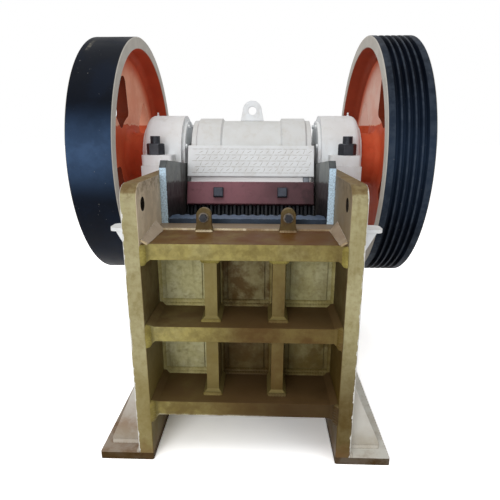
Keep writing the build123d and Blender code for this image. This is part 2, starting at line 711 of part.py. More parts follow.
def wheel_rim(grooved):
    """One flywheel's rim with the root of its web; the driven one has belt grooves."""
    face = section_between(RIM_INNER - WEB_STUB, WHEEL_RADIUS)
    if grooved:
        middle = (WHEEL_IN + WHEEL_OUT) / 2
        for i in range(GROOVE_COUNT):
            x = middle + (i - (GROOVE_COUNT - 1) / 2) * GROOVE_PITCH
            face -= outline([
                (x - GROOVE_TOP / 2, WHEEL_RADIUS),
                (x + GROOVE_TOP / 2, WHEEL_RADIUS),
                (x + GROOVE_BOTTOM / 2, WHEEL_RADIUS - GROOVE_DEPTH),
                (x - GROOVE_BOTTOM / 2, WHEEL_RADIUS - GROOVE_DEPTH),
            ])
    return wheel_turned(face)


def wheel_web():
    """One flywheel's flat web with its windows."""
    body = wheel_turned(section_between(HUB_RADIUS + WEB_STUB, RIM_INNER - WEB_STUB))
    for i in range(WINDOW_COUNT):
        turn = 90 + WINDOW_TURN + i * 360 / WINDOW_COUNT
        body -= side_shape(Pos(SHAFT_Y, SHAFT_Z) * Rot(0, 0, turn) * window(), WEB_IN, WEB_OUT)
    return body


def wheel_hub():
    """One flywheel's hub with the root of its web and its keyway."""
    body = wheel_turned(section_between(WHEEL_SEAT_RADIUS, HUB_RADIUS + WEB_STUB))
    return body - key_block(SHAFT_Z, key_top())


def key_top():
    """Height of a key's top face."""
    return SHAFT_Z + WHEEL_SEAT_RADIUS - KEY_SEAT + KEY_HEIGHT


def window():
    """One rounded window of a flywheel's web, centred on the local X axis."""
    half = radians(WINDOW_SPAN / 2)
    reach = WHEEL_RADIUS / cos(half)
    wedge = outline([(0, 0), (reach * cos(half), -reach * sin(half)), (reach * cos(half), reach * sin(half))])
    face = (Circle(WINDOW_OUTER) - Circle(WINDOW_INNER)) & wedge
    return fillet(face.vertices(), WINDOW_CORNER)


def pitman():
    """The swinging casting: barrel, jaw seat, head, rear ribs and toggle seat."""
    band_in = BARREL_WAIST + BAND_SLOPE
    band_out = PITMAN_HALF - BARREL_COLLAR
    face = outline([
        (0, 0),
        (PITMAN_HALF, 0),
        (PITMAN_HALF, BARREL_END_RADIUS),
        (band_out + BAND_SLOPE, BARREL_END_RADIUS),
        (band_out, BARREL_BAND_RADIUS),
        (band_in, BARREL_BAND_RADIUS),
        (BARREL_WAIST, BARREL_RADIUS),
        (0, BARREL_RADIUS),
    ])
    half_barrel = Pos(0, SHAFT_Y, ECCENTRIC_Z) * revolve(face, axis=Axis.X)
    body = half_barrel + flip(half_barrel)
    sides = (-PITMAN_HALF, PITMAN_HALF)
    core_top = BARREL_UP - BARREL_RADIUS * CORE_TOP_SHARE
    body += JAW_FRAME * block(sides, (CORE_FRONT, CORE_BACK), (-LIP_HEIGHT, core_top))
    body += JAW_FRAME * block(sides, (LIP_BACK, CORE_BACK), (-LIP_HEIGHT, 0))
    head_sides = (HEAD_INSET - PITMAN_HALF, PITMAN_HALF - HEAD_INSET)
    bar_seat = BAR_THICK - BAR_PROUD
    body += JAW_FRAME * block(head_sides, (bar_seat, CORE_FRONT), (JAW_LENGTH, core_top))
    body += JAW_FRAME * block(head_sides, (-HEAD_PROUD, CORE_FRONT), (BAR_TOP, GUARD_TOP))
    seat_z = (TOE_Z + SEAT_BLOCK_BOTTOM, TOE_Z + SEAT_BLOCK_TOP)
    core_low = JAW_FRAME * Pos(0, CORE_FRONT + CORE_THICK * RIB_CORE_SHARE, 0)
    core_y = core_low.position.Y
    core_z = core_low.position.Z
    seat = outline([
        (core_y, core_z),
        (SEAT_REAR_Y, seat_z[0]),
        (SEAT_REAR_Y, seat_z[1]),
        (core_y + (seat_z[1] - core_z) * JAW_UP_Y / JAW_UP_Z, seat_z[1]),
    ])
    body += side_shape(seat, -PITMAN_HALF, PITMAN_HALF)
    rib = outline([
        (core_y, core_z),
        (SEAT_REAR_Y, seat_z[0]),
        (SEAT_REAR_Y, seat_z[1]),
        (SHAFT_Y + BARREL_END_RADIUS * RIB_REAR_SHARE, ECCENTRIC_Z - BARREL_END_RADIUS * RIB_DROP_SHARE),
        (SHAFT_Y, ECCENTRIC_Z),
    ])
    outer = PITMAN_HALF - PITMAN_RIB_THICK
    for x in (-PITMAN_HALF, -PITMAN_RIB_OUT - PITMAN_RIB_THICK, PITMAN_RIB_OUT, outer):
        body += side_shape(rib, x, x + PITMAN_RIB_THICK)
    slot_y = (SEAT_REAR_Y - TOGGLE_SLOT_DEPTH, SEAT_REAR_Y)
    body -= block(sides, slot_y, (SLOT_BOTTOM, SLOT_TOP))
    body -= rod_y(SEAT_REAR_Y - ROD_EMBED, SEAT_REAR_Y, 0, ROD_Z, ROD_RADIUS + SEAT_FIT)
    return body - rod_x(-PITMAN_HALF, PITMAN_HALF, SHAFT_Y, ECCENTRIC_Z, ECCENTRIC_RADIUS + RUN_FIT)


def wedge_bar():
    """The bar that clamps the moving jaw's top edge."""
    bar = block((-SWING_HALF, SWING_HALF), (-BAR_PROUD, BAR_THICK - BAR_PROUD), (JAW_LENGTH, BAR_TOP))
    bar = chamfer(bar.faces().sort_by(Axis.Y)[0].edges(), BAR_EDGE)
    return JAW_FRAME * bar


def bar_bolt():
    """One square-headed bolt of the wedge bar."""
    half = BAR_BOLT_FLATS / 2
    middle = (JAW_LENGTH + BAR_TOP) / 2
    head = block((BAR_BOLT_OUT - half, BAR_BOLT_OUT + half), (-BAR_PROUD - BAR_BOLT_HEAD, -BAR_PROUD),
                 (middle - half, middle + half))
    head = chamfer(head.faces().sort_by(Axis.Y)[0].edges(), BAR_EDGE)
    return JAW_FRAME * head


def guard_plate():
    """The plate over the pitman's head above the wedge bar."""
    plate = block((-SWING_HALF, SWING_HALF), (-HEAD_PROUD - GUARD_THICK, -HEAD_PROUD), (GUARD_FOOT, GUARD_TOP))
    plate = fillet(plate.faces().sort_by(Axis.Y)[0].edges(), GUARD_EDGE)
    return JAW_FRAME * plate


def lifting_eye():
    """The bored plate on top of the barrel."""
    foot_z = ECCENTRIC_Z + BARREL_RADIUS
    hole_z = foot_z + EYE_PLATE_RISE
    shape = outline([
        (-EYE_PLATE_BASE, foot_z),
        (EYE_PLATE_BASE, foot_z),
        (EYE_PLATE_RADIUS, hole_z),
        (-EYE_PLATE_RADIUS, hole_z),
    ])
    shape += Pos(0, hole_z) * Circle(EYE_PLATE_RADIUS)
    shape -= Pos(0, hole_z) * Circle(EYE_PLATE_HOLE)
    front = SHAFT_Y - EYE_PLATE_THICK / 2
    return extrude(Plane.XZ.offset(-front) * shape, amount=-EYE_PLATE_THICK)


def toggle_plate():
    """The strut between the pitman and the rear block, with rounded ends."""
    length = hypot(TOGGLE_REAR_Y - TOGGLE_FRONT_Y, TOGGLE_REAR_HEIGHT - SLOT_MID_Z)
    shape = SlotCenterToCenter(length, TOGGLE_THICK)
    middle = Pos((TOGGLE_FRONT_Y + TOGGLE_REAR_Y) / 2, (SLOT_MID_Z + TOGGLE_REAR_HEIGHT) / 2)
    return side_shape(middle * Rot(0, 0, degrees(TOGGLE_ANGLE)) * shape, -TOGGLE_WIDTH / 2, TOGGLE_WIDTH / 2)


def toggle_block():
    """The block on the rear wall with the toggle's rear seat."""
    half = BLOCK_WIDTH / 2
    low = TOGGLE_REAR_HEIGHT - BLOCK_HEIGHT / 2
    body = block((-half, half), (BLOCK_FRONT_Y, REAR_WALL_Y), (low, low + BLOCK_HEIGHT))
    return body - rod_x(-half, half, TOGGLE_REAR_Y, TOGGLE_REAR_HEIGHT, TOGGLE_THICK / 2 + SEAT_FIT)


def rear_wall():
    """The plate between the sides behind the toggle, with the rod's hole."""
    wall = block((-PLATE_IN, PLATE_IN), (REAR_WALL_Y, REAR_WALL_BACK), (REAR_WALL_FOOT, REAR_WALL_TOP))
    return wall - rod_y(REAR_WALL_Y, REAR_WALL_BACK, 0, ROD_Z + ECCENTRIC_THROW, ROD_HOLE)


def rear_ribs():
    """The ribs along the rear wall's foot and top."""
    solids = []
    for low in (REAR_WALL_FOOT, REAR_WALL_TOP - REAR_RIB_THICK):
        solids.append(block((-PLATE_IN, PLATE_IN), (REAR_WALL_BACK, REAR_Y), (low, low + REAR_RIB_THICK)))
    return Compound(children=solids)


def spring_cup():
    """The short tube on the rear wall around the spring."""
    z = ROD_Z + ECCENTRIC_THROW
    tube = rod_y(REAR_WALL_BACK, REAR_WALL_BACK + CUP_LENGTH, 0, z, CUP_INNER + CUP_WALL)
    return tube - rod_y(REAR_WALL_BACK, REAR_WALL_BACK + CUP_LENGTH, 0, z, CUP_INNER)


def tension_rod():
    """The rod that keeps the pitman against the toggle."""
    return rod_y(SEAT_REAR_Y - ROD_EMBED, REAR_Y + ROD_END, 0, ROD_Z, ROD_RADIUS)


def tension_spring():
    """The coil spring on the rod, in square wire."""
    rise = SPRING_LENGTH - SPRING_WIRE
    path = Helix(pitch=rise / SPRING_TURNS, height=rise, radius=SPRING_RADIUS)
    section = Plane(origin=path @ 0, x_dir=(1, 0, 0), z_dir=path % 0) * Rectangle(SPRING_WIRE, SPRING_WIRE)
    coil = sweep(section, path=path, is_frenet=True)
    return Pos(0, SPRING_Y + SPRING_WIRE / 2, ROD_Z) * Rot(-90, 0, 0) * coil


def rod_nuts():
    """The washer and the nut behind the spring."""
    bore = Circle(ROD_RADIUS + SEAT_FIT)
    washer = extrude(Plane.XZ.offset(-WASHER_Y) * Pos(0, ROD_Z) * (Circle(WASHER_RADIUS) - bore), amount=-WASHER_THICK)
    seat = WASHER_Y + WASHER_THICK
    nut = extrude(Plane.XZ.offset(-seat) * Pos(0, ROD_Z) * (hexagon(ROD_NUT_FLATS) - bore), amount=-ROD_NUT_THICK)
    return washer + nut


right_plate = side_plate()
right_foot = foot()
right_pedestal = pedestal()
right_housing = housing()
right_cheek = cheek()
lower_upright = upright(WALL_FOOT)
upper_upright = upright(WALL_FOOT + RIB_PITCH)
top_rib = front_rib(TOP_RIB_Z, TOP_RIB_SLOPE, 0)
right_web = wheel_web()
right_inner_cover = inner_cover()
right_outer_cover = outer_cover()

nodes = {
    "left_side_plate": flip(right_plate),
    "right_side_plate": right_plate,
    "left_foot": flip(right_foot),
    "right_foot": right_foot,
    "foot_gussets": foot_gussets(),
    "side_brackets": both(bracket()),
    "front_wall": front_wall(),
    "front_bottom_rib": front_rib(WALL_FOOT, 0, WELD_LEG),
    "front_middle_rib": front_rib(WALL_FOOT + RIB_PITCH, 0, WELD_LEG),
    "front_top_rib": top_rib,
    "front_uprights": Compound(children=[lower_upright, flip(lower_upright), upper_upright, flip(upper_upright)]),
    "feed_corners": both(feed_corner()),
    "fixed_jaw_plate": fixed_jaw(),
    "front_lugs": both(front_lug(top_rib)),
    "front_lug_bolts": both(lug_bolt()),
    "left_cheek_plate": flip(right_cheek),
    "right_cheek_plate": right_cheek,
    "left_bearing_pedestal": flip(right_pedestal),
    "right_bearing_pedestal": right_pedestal,
    "left_bearing_housing": flip(right_housing),
    "right_bearing_housing": right_housing,
    "bearing_studs": stud_set(stud),
    "bearing_nuts": stud_set(stud_nut),
    "bearing_covers": Compound(children=[right_inner_cover, flip(right_inner_cover), right_outer_cover,
                                         flip(right_outer_cover)]),
    "rear_wall": rear_wall(),
    "rear_wall_ribs": rear_ribs(),
    "toggle_block": toggle_block(),
    "toggle_plate": toggle_plate(),
    "spring_cup": spring_cup(),
    "eccentric_shaft": shaft(),
    "plain_wheel_rim": flip(wheel_rim(False)),
    "plain_wheel_web": flip(right_web),
    "grooved_wheel_rim": wheel_rim(True),
    "grooved_wheel_web": right_web,
    "wheel_hubs": both(wheel_hub()),
    "flywheel_keys": both(key()),
    "pitman": pitman(),
    "moving_jaw_plate": moving_jaw(),
    "jaw_wedge_bar": wedge_bar(),
    "wedge_bar_bolts": both(bar_bolt()),
    "pitman_guard_plate": guard_plate(),
    "lifting_eye": lifting_eye(),
    "tension_rod": tension_rod(),
    "tension_spring": tension_spring(),
    "rod_nuts": rod_nuts(),
}

os.makedirs("parts", exist_ok=True)
for name, solid in nodes.items():
    export_step(solid, f"parts/{name}.step")
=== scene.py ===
import logging
import math
from dataclasses import dataclass, replace
from enum import Enum

import bmesh
import bpy
import numpy as np
from mathutils import Matrix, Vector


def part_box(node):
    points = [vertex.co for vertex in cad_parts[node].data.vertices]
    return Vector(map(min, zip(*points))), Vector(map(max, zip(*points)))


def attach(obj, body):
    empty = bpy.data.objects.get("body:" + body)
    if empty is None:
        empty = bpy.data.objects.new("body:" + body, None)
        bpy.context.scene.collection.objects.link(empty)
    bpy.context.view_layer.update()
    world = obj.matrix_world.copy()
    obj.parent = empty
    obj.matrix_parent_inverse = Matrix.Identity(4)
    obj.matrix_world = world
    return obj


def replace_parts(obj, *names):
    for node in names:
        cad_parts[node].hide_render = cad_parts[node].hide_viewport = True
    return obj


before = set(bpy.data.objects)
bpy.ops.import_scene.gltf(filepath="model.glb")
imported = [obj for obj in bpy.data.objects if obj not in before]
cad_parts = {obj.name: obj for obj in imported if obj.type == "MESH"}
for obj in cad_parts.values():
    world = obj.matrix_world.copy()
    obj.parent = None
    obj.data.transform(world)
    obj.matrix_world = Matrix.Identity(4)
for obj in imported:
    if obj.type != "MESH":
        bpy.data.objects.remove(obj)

log = logging.getLogger("crusher")

Vec = tuple[float, float, float]
Axes = tuple[Vec, Vec, Vec]
Socket = bpy.types.NodeSocket
Tree = bpy.types.NodeTree

# A millimetre in the scene's metres, no limit at all, and the left and right of the machine.
MM = 0.001
FAR = math.inf
SIDES = (-1.0, 1.0)
# Unit directions, and the axes of a plate on the front: along it, up it and out of it.
AHEAD = (0, -1, 0)
UP = (0, 0, 1)
FRONT = ((1, 0, 0), UP, AHEAD)
# Corners nearer than this in metres are one corner, and edges sharper than this stay sharp.
SAME_PLACE = 0.00001
SHARP = math.radians(40)
# How finishes are mixed: bump of the skin, rays that round an edge, play of roughness, steps between noises.
SKIN_STRENGTH = 0.6
BEVEL_SAMPLES = 6
ROUGH_SWING = 0.1
ROUGH_LEAST = 0.05
LAYER_SHIFT = (1.7, 0.9, 0.4)
# A lamp that looks down more steeply than this takes its right from the Y axis.
STEEP = 0.95


def to_linear(code: str) -> tuple[float, float, float, float]:
    """Turn an sRGB hex colour into linear light.

    Args:
        code: Colour as "#RRGGBB".

    Returns:
        Linear red, green, blue and an alpha of 1.
    """
    parts = [int(code[i:i + 2], 16) / 255 for i in (1, 3, 5)]
    bent = [c / 12.92 if c <= 0.04045 else ((c + 0.055) / 1.055) ** 2.4 for c in parts]
    return (bent[0], bent[1], bent[2], 1.0)


def add(tree: Tree, kind: str, settings: dict | None = None, inputs: dict | None = None) -> bpy.types.Node:
    """Add one node with its settings and links.

    Args:
        tree: The node tree it goes into.
        kind: Blender's type name of the node.
        settings: Attributes to set on the node.
        inputs: Values, or sockets to link, by input name or index.

    Returns:
        The new node.
    """
    node = tree.nodes.new(kind)
    for name, value in (settings or {}).items():
        setattr(node, name, value)
    for key, value in (inputs or {}).items():
        if isinstance(value, Socket):
            tree.links.new(value, node.inputs[key])
        else:
            node.inputs[key].default_value = value
    return node


def empty_tree(owner: bpy.types.ID) -> Tree:
    """Give a material or world a node tree with nothing in it.

    Args:
        owner: The material or world.

    Returns:
        Its empty tree.
    """
    owner.use_nodes = True
    owner.node_tree.nodes.clear()
    return owner.node_tree


def mm_box(node: str) -> tuple[np.ndarray, np.ndarray]:
    """Lowest and highest corner of a CAD node in millimetres."""
    low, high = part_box(node)
    return np.array(low) / MM, np.array(high) / MM


class Measure(Enum):
    """What a zone of paint is bounded by: a place in millimetres, or the way a face looks."""

    X = "x"
    Y = "y"
    Z = "z"
    ABS_X = "distance from the middle plane"
    RADIUS = "distance from the wheels' axis"
    TIDE = "height, more towards the back"
    FACE_Y = "facing y"
    FACE_Z = "facing z"
    FACE_SIDE = "facing either side"

    @property
    def unit(self) -> float:
        """Length of one of its units in the scene's own."""
        return 1.0 if self.value.startswith("facing") else MM


X, Y, Z, ABS_X, RADIUS, TIDE, FACE_Y, FACE_Z, FACE_SIDE = Measure
# Slope of the tide line, softness of a limit on facing, and the middle of a wheel, whose axis is the shaft's.
TIDE_RISE = 0.1
FACING_SOFT = 0.08
WHEEL_MIDDLE = np.mean(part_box("plain_wheel_rim"), axis=0)
WHEEL_Y = float(WHEEL_MIDDLE[1]) / MM
WHEEL_Z = float(WHEEL_MIDDLE[2]) / MM


@dataclass(frozen=True)
class Bench:
    """A material's node tree and the coordinates that its textures lie on."""

    tree: Tree
    point: Socket

    def noise(self, size_mm: float, detail: float, roughness: float = 0.5) -> Socket:
        """Cloudy noise whose clouds are about this size."""
        settings = {"Scale": 1 / (size_mm * MM), "Detail": detail, "Roughness": roughness}
        return add(self.tree, "ShaderNodeTexNoise", {}, {"Vector": self.point, **settings}).outputs["Fac"]

    def ramp(self, value: Socket, low: float, high: float, start: float = 0.0, stop: float = 1.0,
             smooth: bool = True, clamp: bool = True) -> Socket:
        """Carry a value from one range over to another.

        Args:
            value: The value.
            low: Where it begins to rise.
            high: Where it has risen.
            start: What low becomes.
            stop: What high becomes.
            smooth: Whether the rise eases in and out.
            clamp: Whether the result stays within start and stop.

        Returns:
            The carried value.
        """
        kind = {"interpolation_type": "SMOOTHSTEP" if smooth else "LINEAR", "clamp": clamp}
        ends = {"From Min": low, "From Max": high, "To Min": start, "To Max": stop}
        return add(self.tree, "ShaderNodeMapRange", kind, {"Value": value, **ends}).outputs["Result"]

    def calc(self, operation: str, *values: Socket | float) -> Socket:
        """Work out one operation on sockets and numbers."""
        return add(self.tree, "ShaderNodeMath", {"operation": operation}, dict(enumerate(values))).outputs[0]

    def vector(self, operation: str, *values: Socket | Vec) -> bpy.types.Node:
        """Work out one operation on vectors."""
        return add(self.tree, "ShaderNodeVectorMath", {"operation": operation}, dict(enumerate(values)))

    def over(self, mask: Socket, under: Socket | tuple, code: str) -> Socket:
        """Lay an sRGB colour over another where the mask says."""
        inputs = {0: mask, 6: under, 7: to_linear(code)}
        return add(self.tree, "ShaderNodeMix", {"data_type": "RGBA"}, inputs).outputs[2]

    def measures(self, facing: Socket) -> dict[Measure, Socket]:
        """Work out each measure that zones and dirt are bounded by.

        Args:
            facing: Object-space normal.

        Returns:
            A socket for each measure.
        """
        place = add(self.tree, "ShaderNodeSeparateXYZ", {}, {"Vector": self.point}).outputs
        look = add(self.tree, "ShaderNodeSeparateXYZ", {}, {"Vector": facing}).outputs
        arm = self.vector("SUBTRACT", self.point, tuple(WHEEL_MIDDLE))
        flat = self.vector("MULTIPLY", arm.outputs[0], (0.0, 1.0, 1.0))
        return {
            X: place["X"], Y: place["Y"], Z: place["Z"], ABS_X: self.calc("ABSOLUTE", place["X"]),
            RADIUS: self.vector("LENGTH", flat.outputs[0]).outputs["Value"],
            TIDE: self.calc("MULTIPLY_ADD", place["Y"], TIDE_RISE, place["Z"]),
            FACE_Y: look["Y"], FACE_Z: look["Z"], FACE_SIDE: self.calc("ABSOLUTE", look["X"]),
        }


@dataclass(frozen=True)
class Bound:
    """One limit of a zone, with a soft and, where paint was brushed, a ragged edge."""

    measure: Measure
    low: float = -FAR
    high: float = FAR
    soft: float = 2.0
    ragged: float = 0.0
    ragged_mm: float = 25.0

    def hold(self, bench: Bench, mask: Socket, value: Socket) -> Socket:
        """Cut a mask down to what lies within the limit.

        Args:
            bench: The material's bench.
            mask: The mask so far.
            value: Socket of the measure.

        Returns:
            The mask within the limit.
        """
        unit = self.measure.unit
        soft = self.soft * unit if unit == MM else FACING_SOFT
        if self.ragged > 0:
            stray = self.ragged * unit
            wander = bench.noise(self.ragged_mm, 5.0)
            shift = bench.ramp(wander, 0.3, 0.7, -stray, stray, smooth=False, clamp=False)
            value = bench.calc("ADD", value, shift)
        for limit, start, stop in ((self.low, 0.0, 1.0), (self.high, 1.0, 0.0)):
            if math.isfinite(limit):
                step = bench.ramp(value, limit * unit - soft, limit * unit + soft, start, stop)
                mask = bench.calc("MULTIPLY", mask, step)
        return mask


@dataclass(frozen=True)
class Zone:
    """A second colour over part of a piece; broken is the share of it that blotches take away."""

    colour: str
    bounds: tuple[Bound, ...]
    cover: float = 1.0
    broken: float = 0.0
    broken_mm: float = 45.0

    def lay(self, bench: Bench, colour: Socket, measures: dict[Measure, Socket]) -> Socket:
        """Lay the zone's colour over what is there.

        Args:
            bench: The material's bench.
            colour: The colour so far.
            measures: Sockets of the measures.

        Returns:
            The colour with the zone on it.
        """
        blotch = bench.noise(self.broken_mm, 6.0, 0.65)
        mask = bench.ramp(blotch, 0.4, 0.62, self.cover * (1 - self.broken), self.cover)
        for bound in self.bounds:
            mask = bound.hold(bench, mask, measures[bound.measure])
        return bench.over(mask, colour, self.colour)


@dataclass(frozen=True)
class Coat:
    """A worn finish: patches, stains, streaks, zones, settled dirt, rubbed edges and a fine skin; some zones,
    the settled colour on the uprights and the edge colour on the fixed jaw and the square nuts are painted
    light and shade.
    """

    name: str
    base: str
    patch: str
    stain: str
    dust_and_highlight: str
    edge: str
    zones: tuple[Zone, ...] = ()
    patch_mm: float = 120.0
    patch_cover: float = 0.6
    stain_cover: float = 0.35
    streak_mm: float = 30.0
    streak_cover: float = 0.25
    speck: str = "#000000"
    speck_mm: float = 9.0
    speck_cover: float = 0.0
    mottle_mm: float = 13.0
    mottle_cover: float = 0.0
    dust_and_highlight_mm: float = 60.0
    dust_and_highlight_cover: float = 0.0
    chip_mm: float = 14.0
    edge_cover: float = 0.25
    grain_mm: float = 3.0
    grain_depth_mm: float = 0.15
    round_mm: float = 2.5
    roughness: float = 0.55
    metallic: float = 0.0
    specular: float = 0.35

    def material(self) -> bpy.types.Material:
        """Build the node material, or find the one already made.

        Returns:
            The material.
        """
        done = bpy.data.materials.get(self.name)
        if done:
            return done
        material = bpy.data.materials.new(self.name)
        tree = empty_tree(material)
        place = add(tree, "ShaderNodeTexCoord")
        bench = Bench(tree, place.outputs["Object"])
        measures = bench.measures(place.outputs["Normal"])
        colour = self._weathered(bench)
        for zone in self.zones:
            colour = zone.lay(bench, colour, measures)
        if self.dust_and_highlight_cover > 0:
            colour = self._dust_and_highlight(bench, colour, measures[FACE_Z])
        skin = {"Strength": SKIN_STRENGTH, "Distance": self.grain_depth_mm * MM}
        if self.round_mm > 0:
            soft = add(tree, "ShaderNodeBevel", {"samples": BEVEL_SAMPLES}, {"Radius": self.round_mm * MM})
            colour = self._edges(bench, colour, soft.outputs["Normal"])
            skin["Normal"] = soft.outputs["Normal"]
        bump = add(tree, "ShaderNodeBump", {}, {"Height": bench.noise(self.grain_mm, 3.0), **skin})
        sleek = max(ROUGH_LEAST, self.roughness - ROUGH_SWING)
        matt = min(1.0, self.roughness + ROUGH_SWING)
        rough = bench.ramp(bench.noise(self.patch_mm / 2, 5.0), 0.3, 0.7, sleek, matt, smooth=False)
        shader = add(tree, "ShaderNodeBsdfPrincipled", {},
                     {"Base Color": colour, "Roughness": rough, "Metallic": self.metallic,
                      "Specular IOR Level": self.specular, "Normal": bump.outputs["Normal"]})
        add(tree, "ShaderNodeOutputMaterial", {}, {"Surface": shader.outputs["BSDF"]})
        return material

    def _weathered(self, bench: Bench) -> Socket:
        """Mix base, patches, stains, upright streaks, mottling and specks, each where its noise is high.

        Args:
            bench: The material's bench.

        Returns:
            The mixed colour.
        """
        colour: Socket | tuple = to_linear(self.base)
        layers = (
            (self.patch, self.patch_mm, 1.0, 0.42, 0.62, self.patch_cover),
            (self.stain, self.patch_mm * 0.35, 1.0, 0.52, 0.72, self.stain_cover),
            (self.stain, self.streak_mm, 0.12, 0.5, 0.75, self.streak_cover),
            (self.stain, self.mottle_mm, 1.0, 0.4, 0.7, self.mottle_cover),
            (self.speck, self.speck_mm, 1.0, 0.68, 0.72, self.speck_cover),
        )
        for i, (code, size, squeeze, low, high, cover) in enumerate(layers):
            shift = {"Location": [step * i for step in LAYER_SHIFT], "Scale": (1.0, 1.0, squeeze)}
            node = add(bench.tree, "ShaderNodeMapping", {}, {"Vector": bench.point, **shift})
            moved = Bench(bench.tree, node.outputs["Vector"])
            mask = moved.ramp(moved.noise(size, 7.0, 0.62), low, high, 0.0, cover)
            colour = bench.over(mask, colour, code)
        return colour

    def _dust_and_highlight(self, bench: Bench, colour: Socket, upward: Socket) -> Socket:
        """Settle dirt on faces that look up, thinner where a noise is low; on the uprights the colour is
        lighter, a painted highlight.

        Args:
            bench: The material's bench.
            colour: The colour so far.
            upward: How far a face looks up.

        Returns:
            The dusted colour.
        """
        level = bench.ramp(upward, 0.25, 0.65)
        cloud = bench.noise(self.dust_and_highlight_mm, 8.0)
        thin = bench.ramp(cloud, 0.3, 0.62, self.dust_and_highlight_cover * 0.7, self.dust_and_highlight_cover, smooth=False)
        return bench.over(bench.calc("MULTIPLY", level, thin), colour, self.dust_and_highlight)

    def _edges(self, bench: Bench, colour: Socket, rounded: Socket) -> Socket:
        """Rub the paint off along sharp edges, where the rounded normal leaves the true one; on the fixed jaw
        the edge colour is partly a painted highlight and on the square nuts painted shade.

        Args:
            bench: The material's bench.
            colour: The colour so far.
            rounded: The bevelled normal.

        Returns:
            The colour with worn edges.
        """
        true = add(bench.tree, "ShaderNodeNewGeometry").outputs["True Normal"]
        met = bench.vector("DOT_PRODUCT", rounded, true).outputs["Value"]
        bent = bench.ramp(met, 0.995, 0.9, smooth=False)
        chips = bench.ramp(bench.noise(self.chip_mm, 6.0), 0.42, 0.6, 0.0, self.edge_cover, smooth=False)
        return bench.over(bench.calc("MULTIPLY", bent, chips), colour, self.edge)


# The brown of a wash that is partly dirt and partly painted shade, and the limits that more than one zone
# shares.
WASH_AND_SHADE_BROWN = "#4F3917"
LEFT = Bound(X, high=0)
RIGHT = Bound(X, 0)
FORWARD = Bound(FACE_Y, high=-0.5)
INNER = Bound(ABS_X, high=280.5, soft=1)
CHAMBER = Bound(Z, high=660, soft=10)
MOUTH = Bound(Z, 660, soft=10)
MIDDLE_BAY = Bound(ABS_X, high=82, soft=10)
RIGHT_BAY = Bound(X, 80, soft=10)
LOW_BAY = Bound(Z, high=420, soft=20)
NEAR_FLOOR = Bound(Z, high=250, soft=60)
RIM_BORE = Bound(RADIUS, high=442.8, soft=0.8)
CHEEK_EDGE = Bound(FACE_Y, high=-0.8)
PAINTED_LIGHT_PATCH = (Bound(Z, 1011, soft=2, ragged=10, ragged_mm=70), Bound(FACE_SIDE, 0.9), Bound(ABS_X, high=560),
         Bound(RADIUS, high=375, soft=45))
WINDOW = (Bound(FACE_SIDE, high=0.5), Bound(RADIUS, 140, 405))
REAR_WINDOW = (*WINDOW, Bound(Y, WHEEL_Y), Bound(Z, 1011, soft=3))

# Thick yellow brush marks and dark smudges on the faces that look forwards.
BRUSHED = (
    Zone("#B4A860", (FORWARD,), 0.4, 1.0, 60),
    Zone("#5F5229", (FORWARD,), 0.4, 1.0, 26),
)

# Brushed khaki enamel on flame-cut plate: greenish gold and blotchy, with dry brown dirt on level faces.
KHAKI = Coat("khaki_enamel", "#978B54", "#ACA472", "#756634", "#523E28", "#6B5230", patch_mm=150,
             stain_cover=0.45, dust_and_highlight_cover=0.95, streak_cover=0.4, mottle_cover=0.35,
             speck="#4A3A1C", speck_cover=0.5, roughness=0.5, specular=0.12)
# The same enamel on the lower ribs, darker towards the middle, the right and the floor under a brown wash that
# is partly dirt and partly painted shade.
RIB_KHAKI = replace(KHAKI, name="khaki_enamel_wash_and_shade", dust_and_highlight="#604A2E", zones=BRUSHED + (
    Zone(WASH_AND_SHADE_BROWN, (Bound(X, -90, soft=110), Bound(Z, high=500, soft=60)), 1.0, 0.2, 110),
    Zone(WASH_AND_SHADE_BROWN, (NEAR_FLOOR,), 0.65, 0.5, 90),
    Zone("#342308", (Bound(X, 20, soft=120), NEAR_FLOOR), 0.95, 0.15, 90),
    Zone("#CFCAB4", (Bound(X, high=40, soft=90), Bound(Z, high=149, soft=3)), 0.8, 0.9, 30),
))
# The same enamel on the top rib, whose sloping top is trodden brown, with a brown wash to the right that is
# partly painted shade.
TOP_KHAKI = replace(KHAKI, name="trodden_khaki_enamel", dust_and_highlight="#5B3813", dust_and_highlight_cover=1.0, zones=BRUSHED + (
    Zone(WASH_AND_SHADE_BROWN, (Bound(X, 40, soft=160),), 0.65, 0.4, 90),
))
# The same enamel on the uprights: brown painted shade on the sides that look into the pockets, a brown wash on
# the right and low down that is partly painted shade, and faces that look up a little lighter as a painted
# highlight.
UPRIGHT_KHAKI = replace(KHAKI, name="upright_khaki_enamel", base="#7D7044", patch="#918556", dust_and_highlight="#8C7F4C",
                        dust_and_highlight_cover=0.5, zones=(
    Zone("#453618", (Bound(FACE_SIDE, 0.55),), 0.8),
    Zone(WASH_AND_SHADE_BROWN, (Bound(X, 0, soft=20), Bound(Z, high=600, soft=120)), 0.8, 0.4, 80),
    Zone(WASH_AND_SHADE_BROWN, (Bound(Z, high=330, soft=90),), 0.35, 0.5, 60),
))
# The same enamel thinly brushed on the pocket backs: pale grey-green, partly as painted light, with brown runs
# in the middle, right and low bays that are partly painted shade.
PANEL_KHAKI = replace(KHAKI, name="thin_khaki_enamel", base="#C9C492", patch="#D7D4AB", stain="#8C8152",
                      patch_mm=70, patch_cover=0.7, stain_cover=0.55, streak_cover=0.6, zones=(
    Zone(WASH_AND_SHADE_BROWN, (MIDDLE_BAY,), 0.97, 0.3, 60),
    Zone("#392607", (MIDDLE_BAY, LOW_BAY), 0.9, 0.3, 70),
    Zone("#4B3A1D", (RIGHT_BAY, LOW_BAY), 0.95, 0.3, 70),
    Zone("#5F4F1A", (RIGHT_BAY,), 0.55, 0.45, 60),
    Zone("#5B4A26", (Bound(Z, high=300, soft=60),), 0.3, 0.6, 60),
))
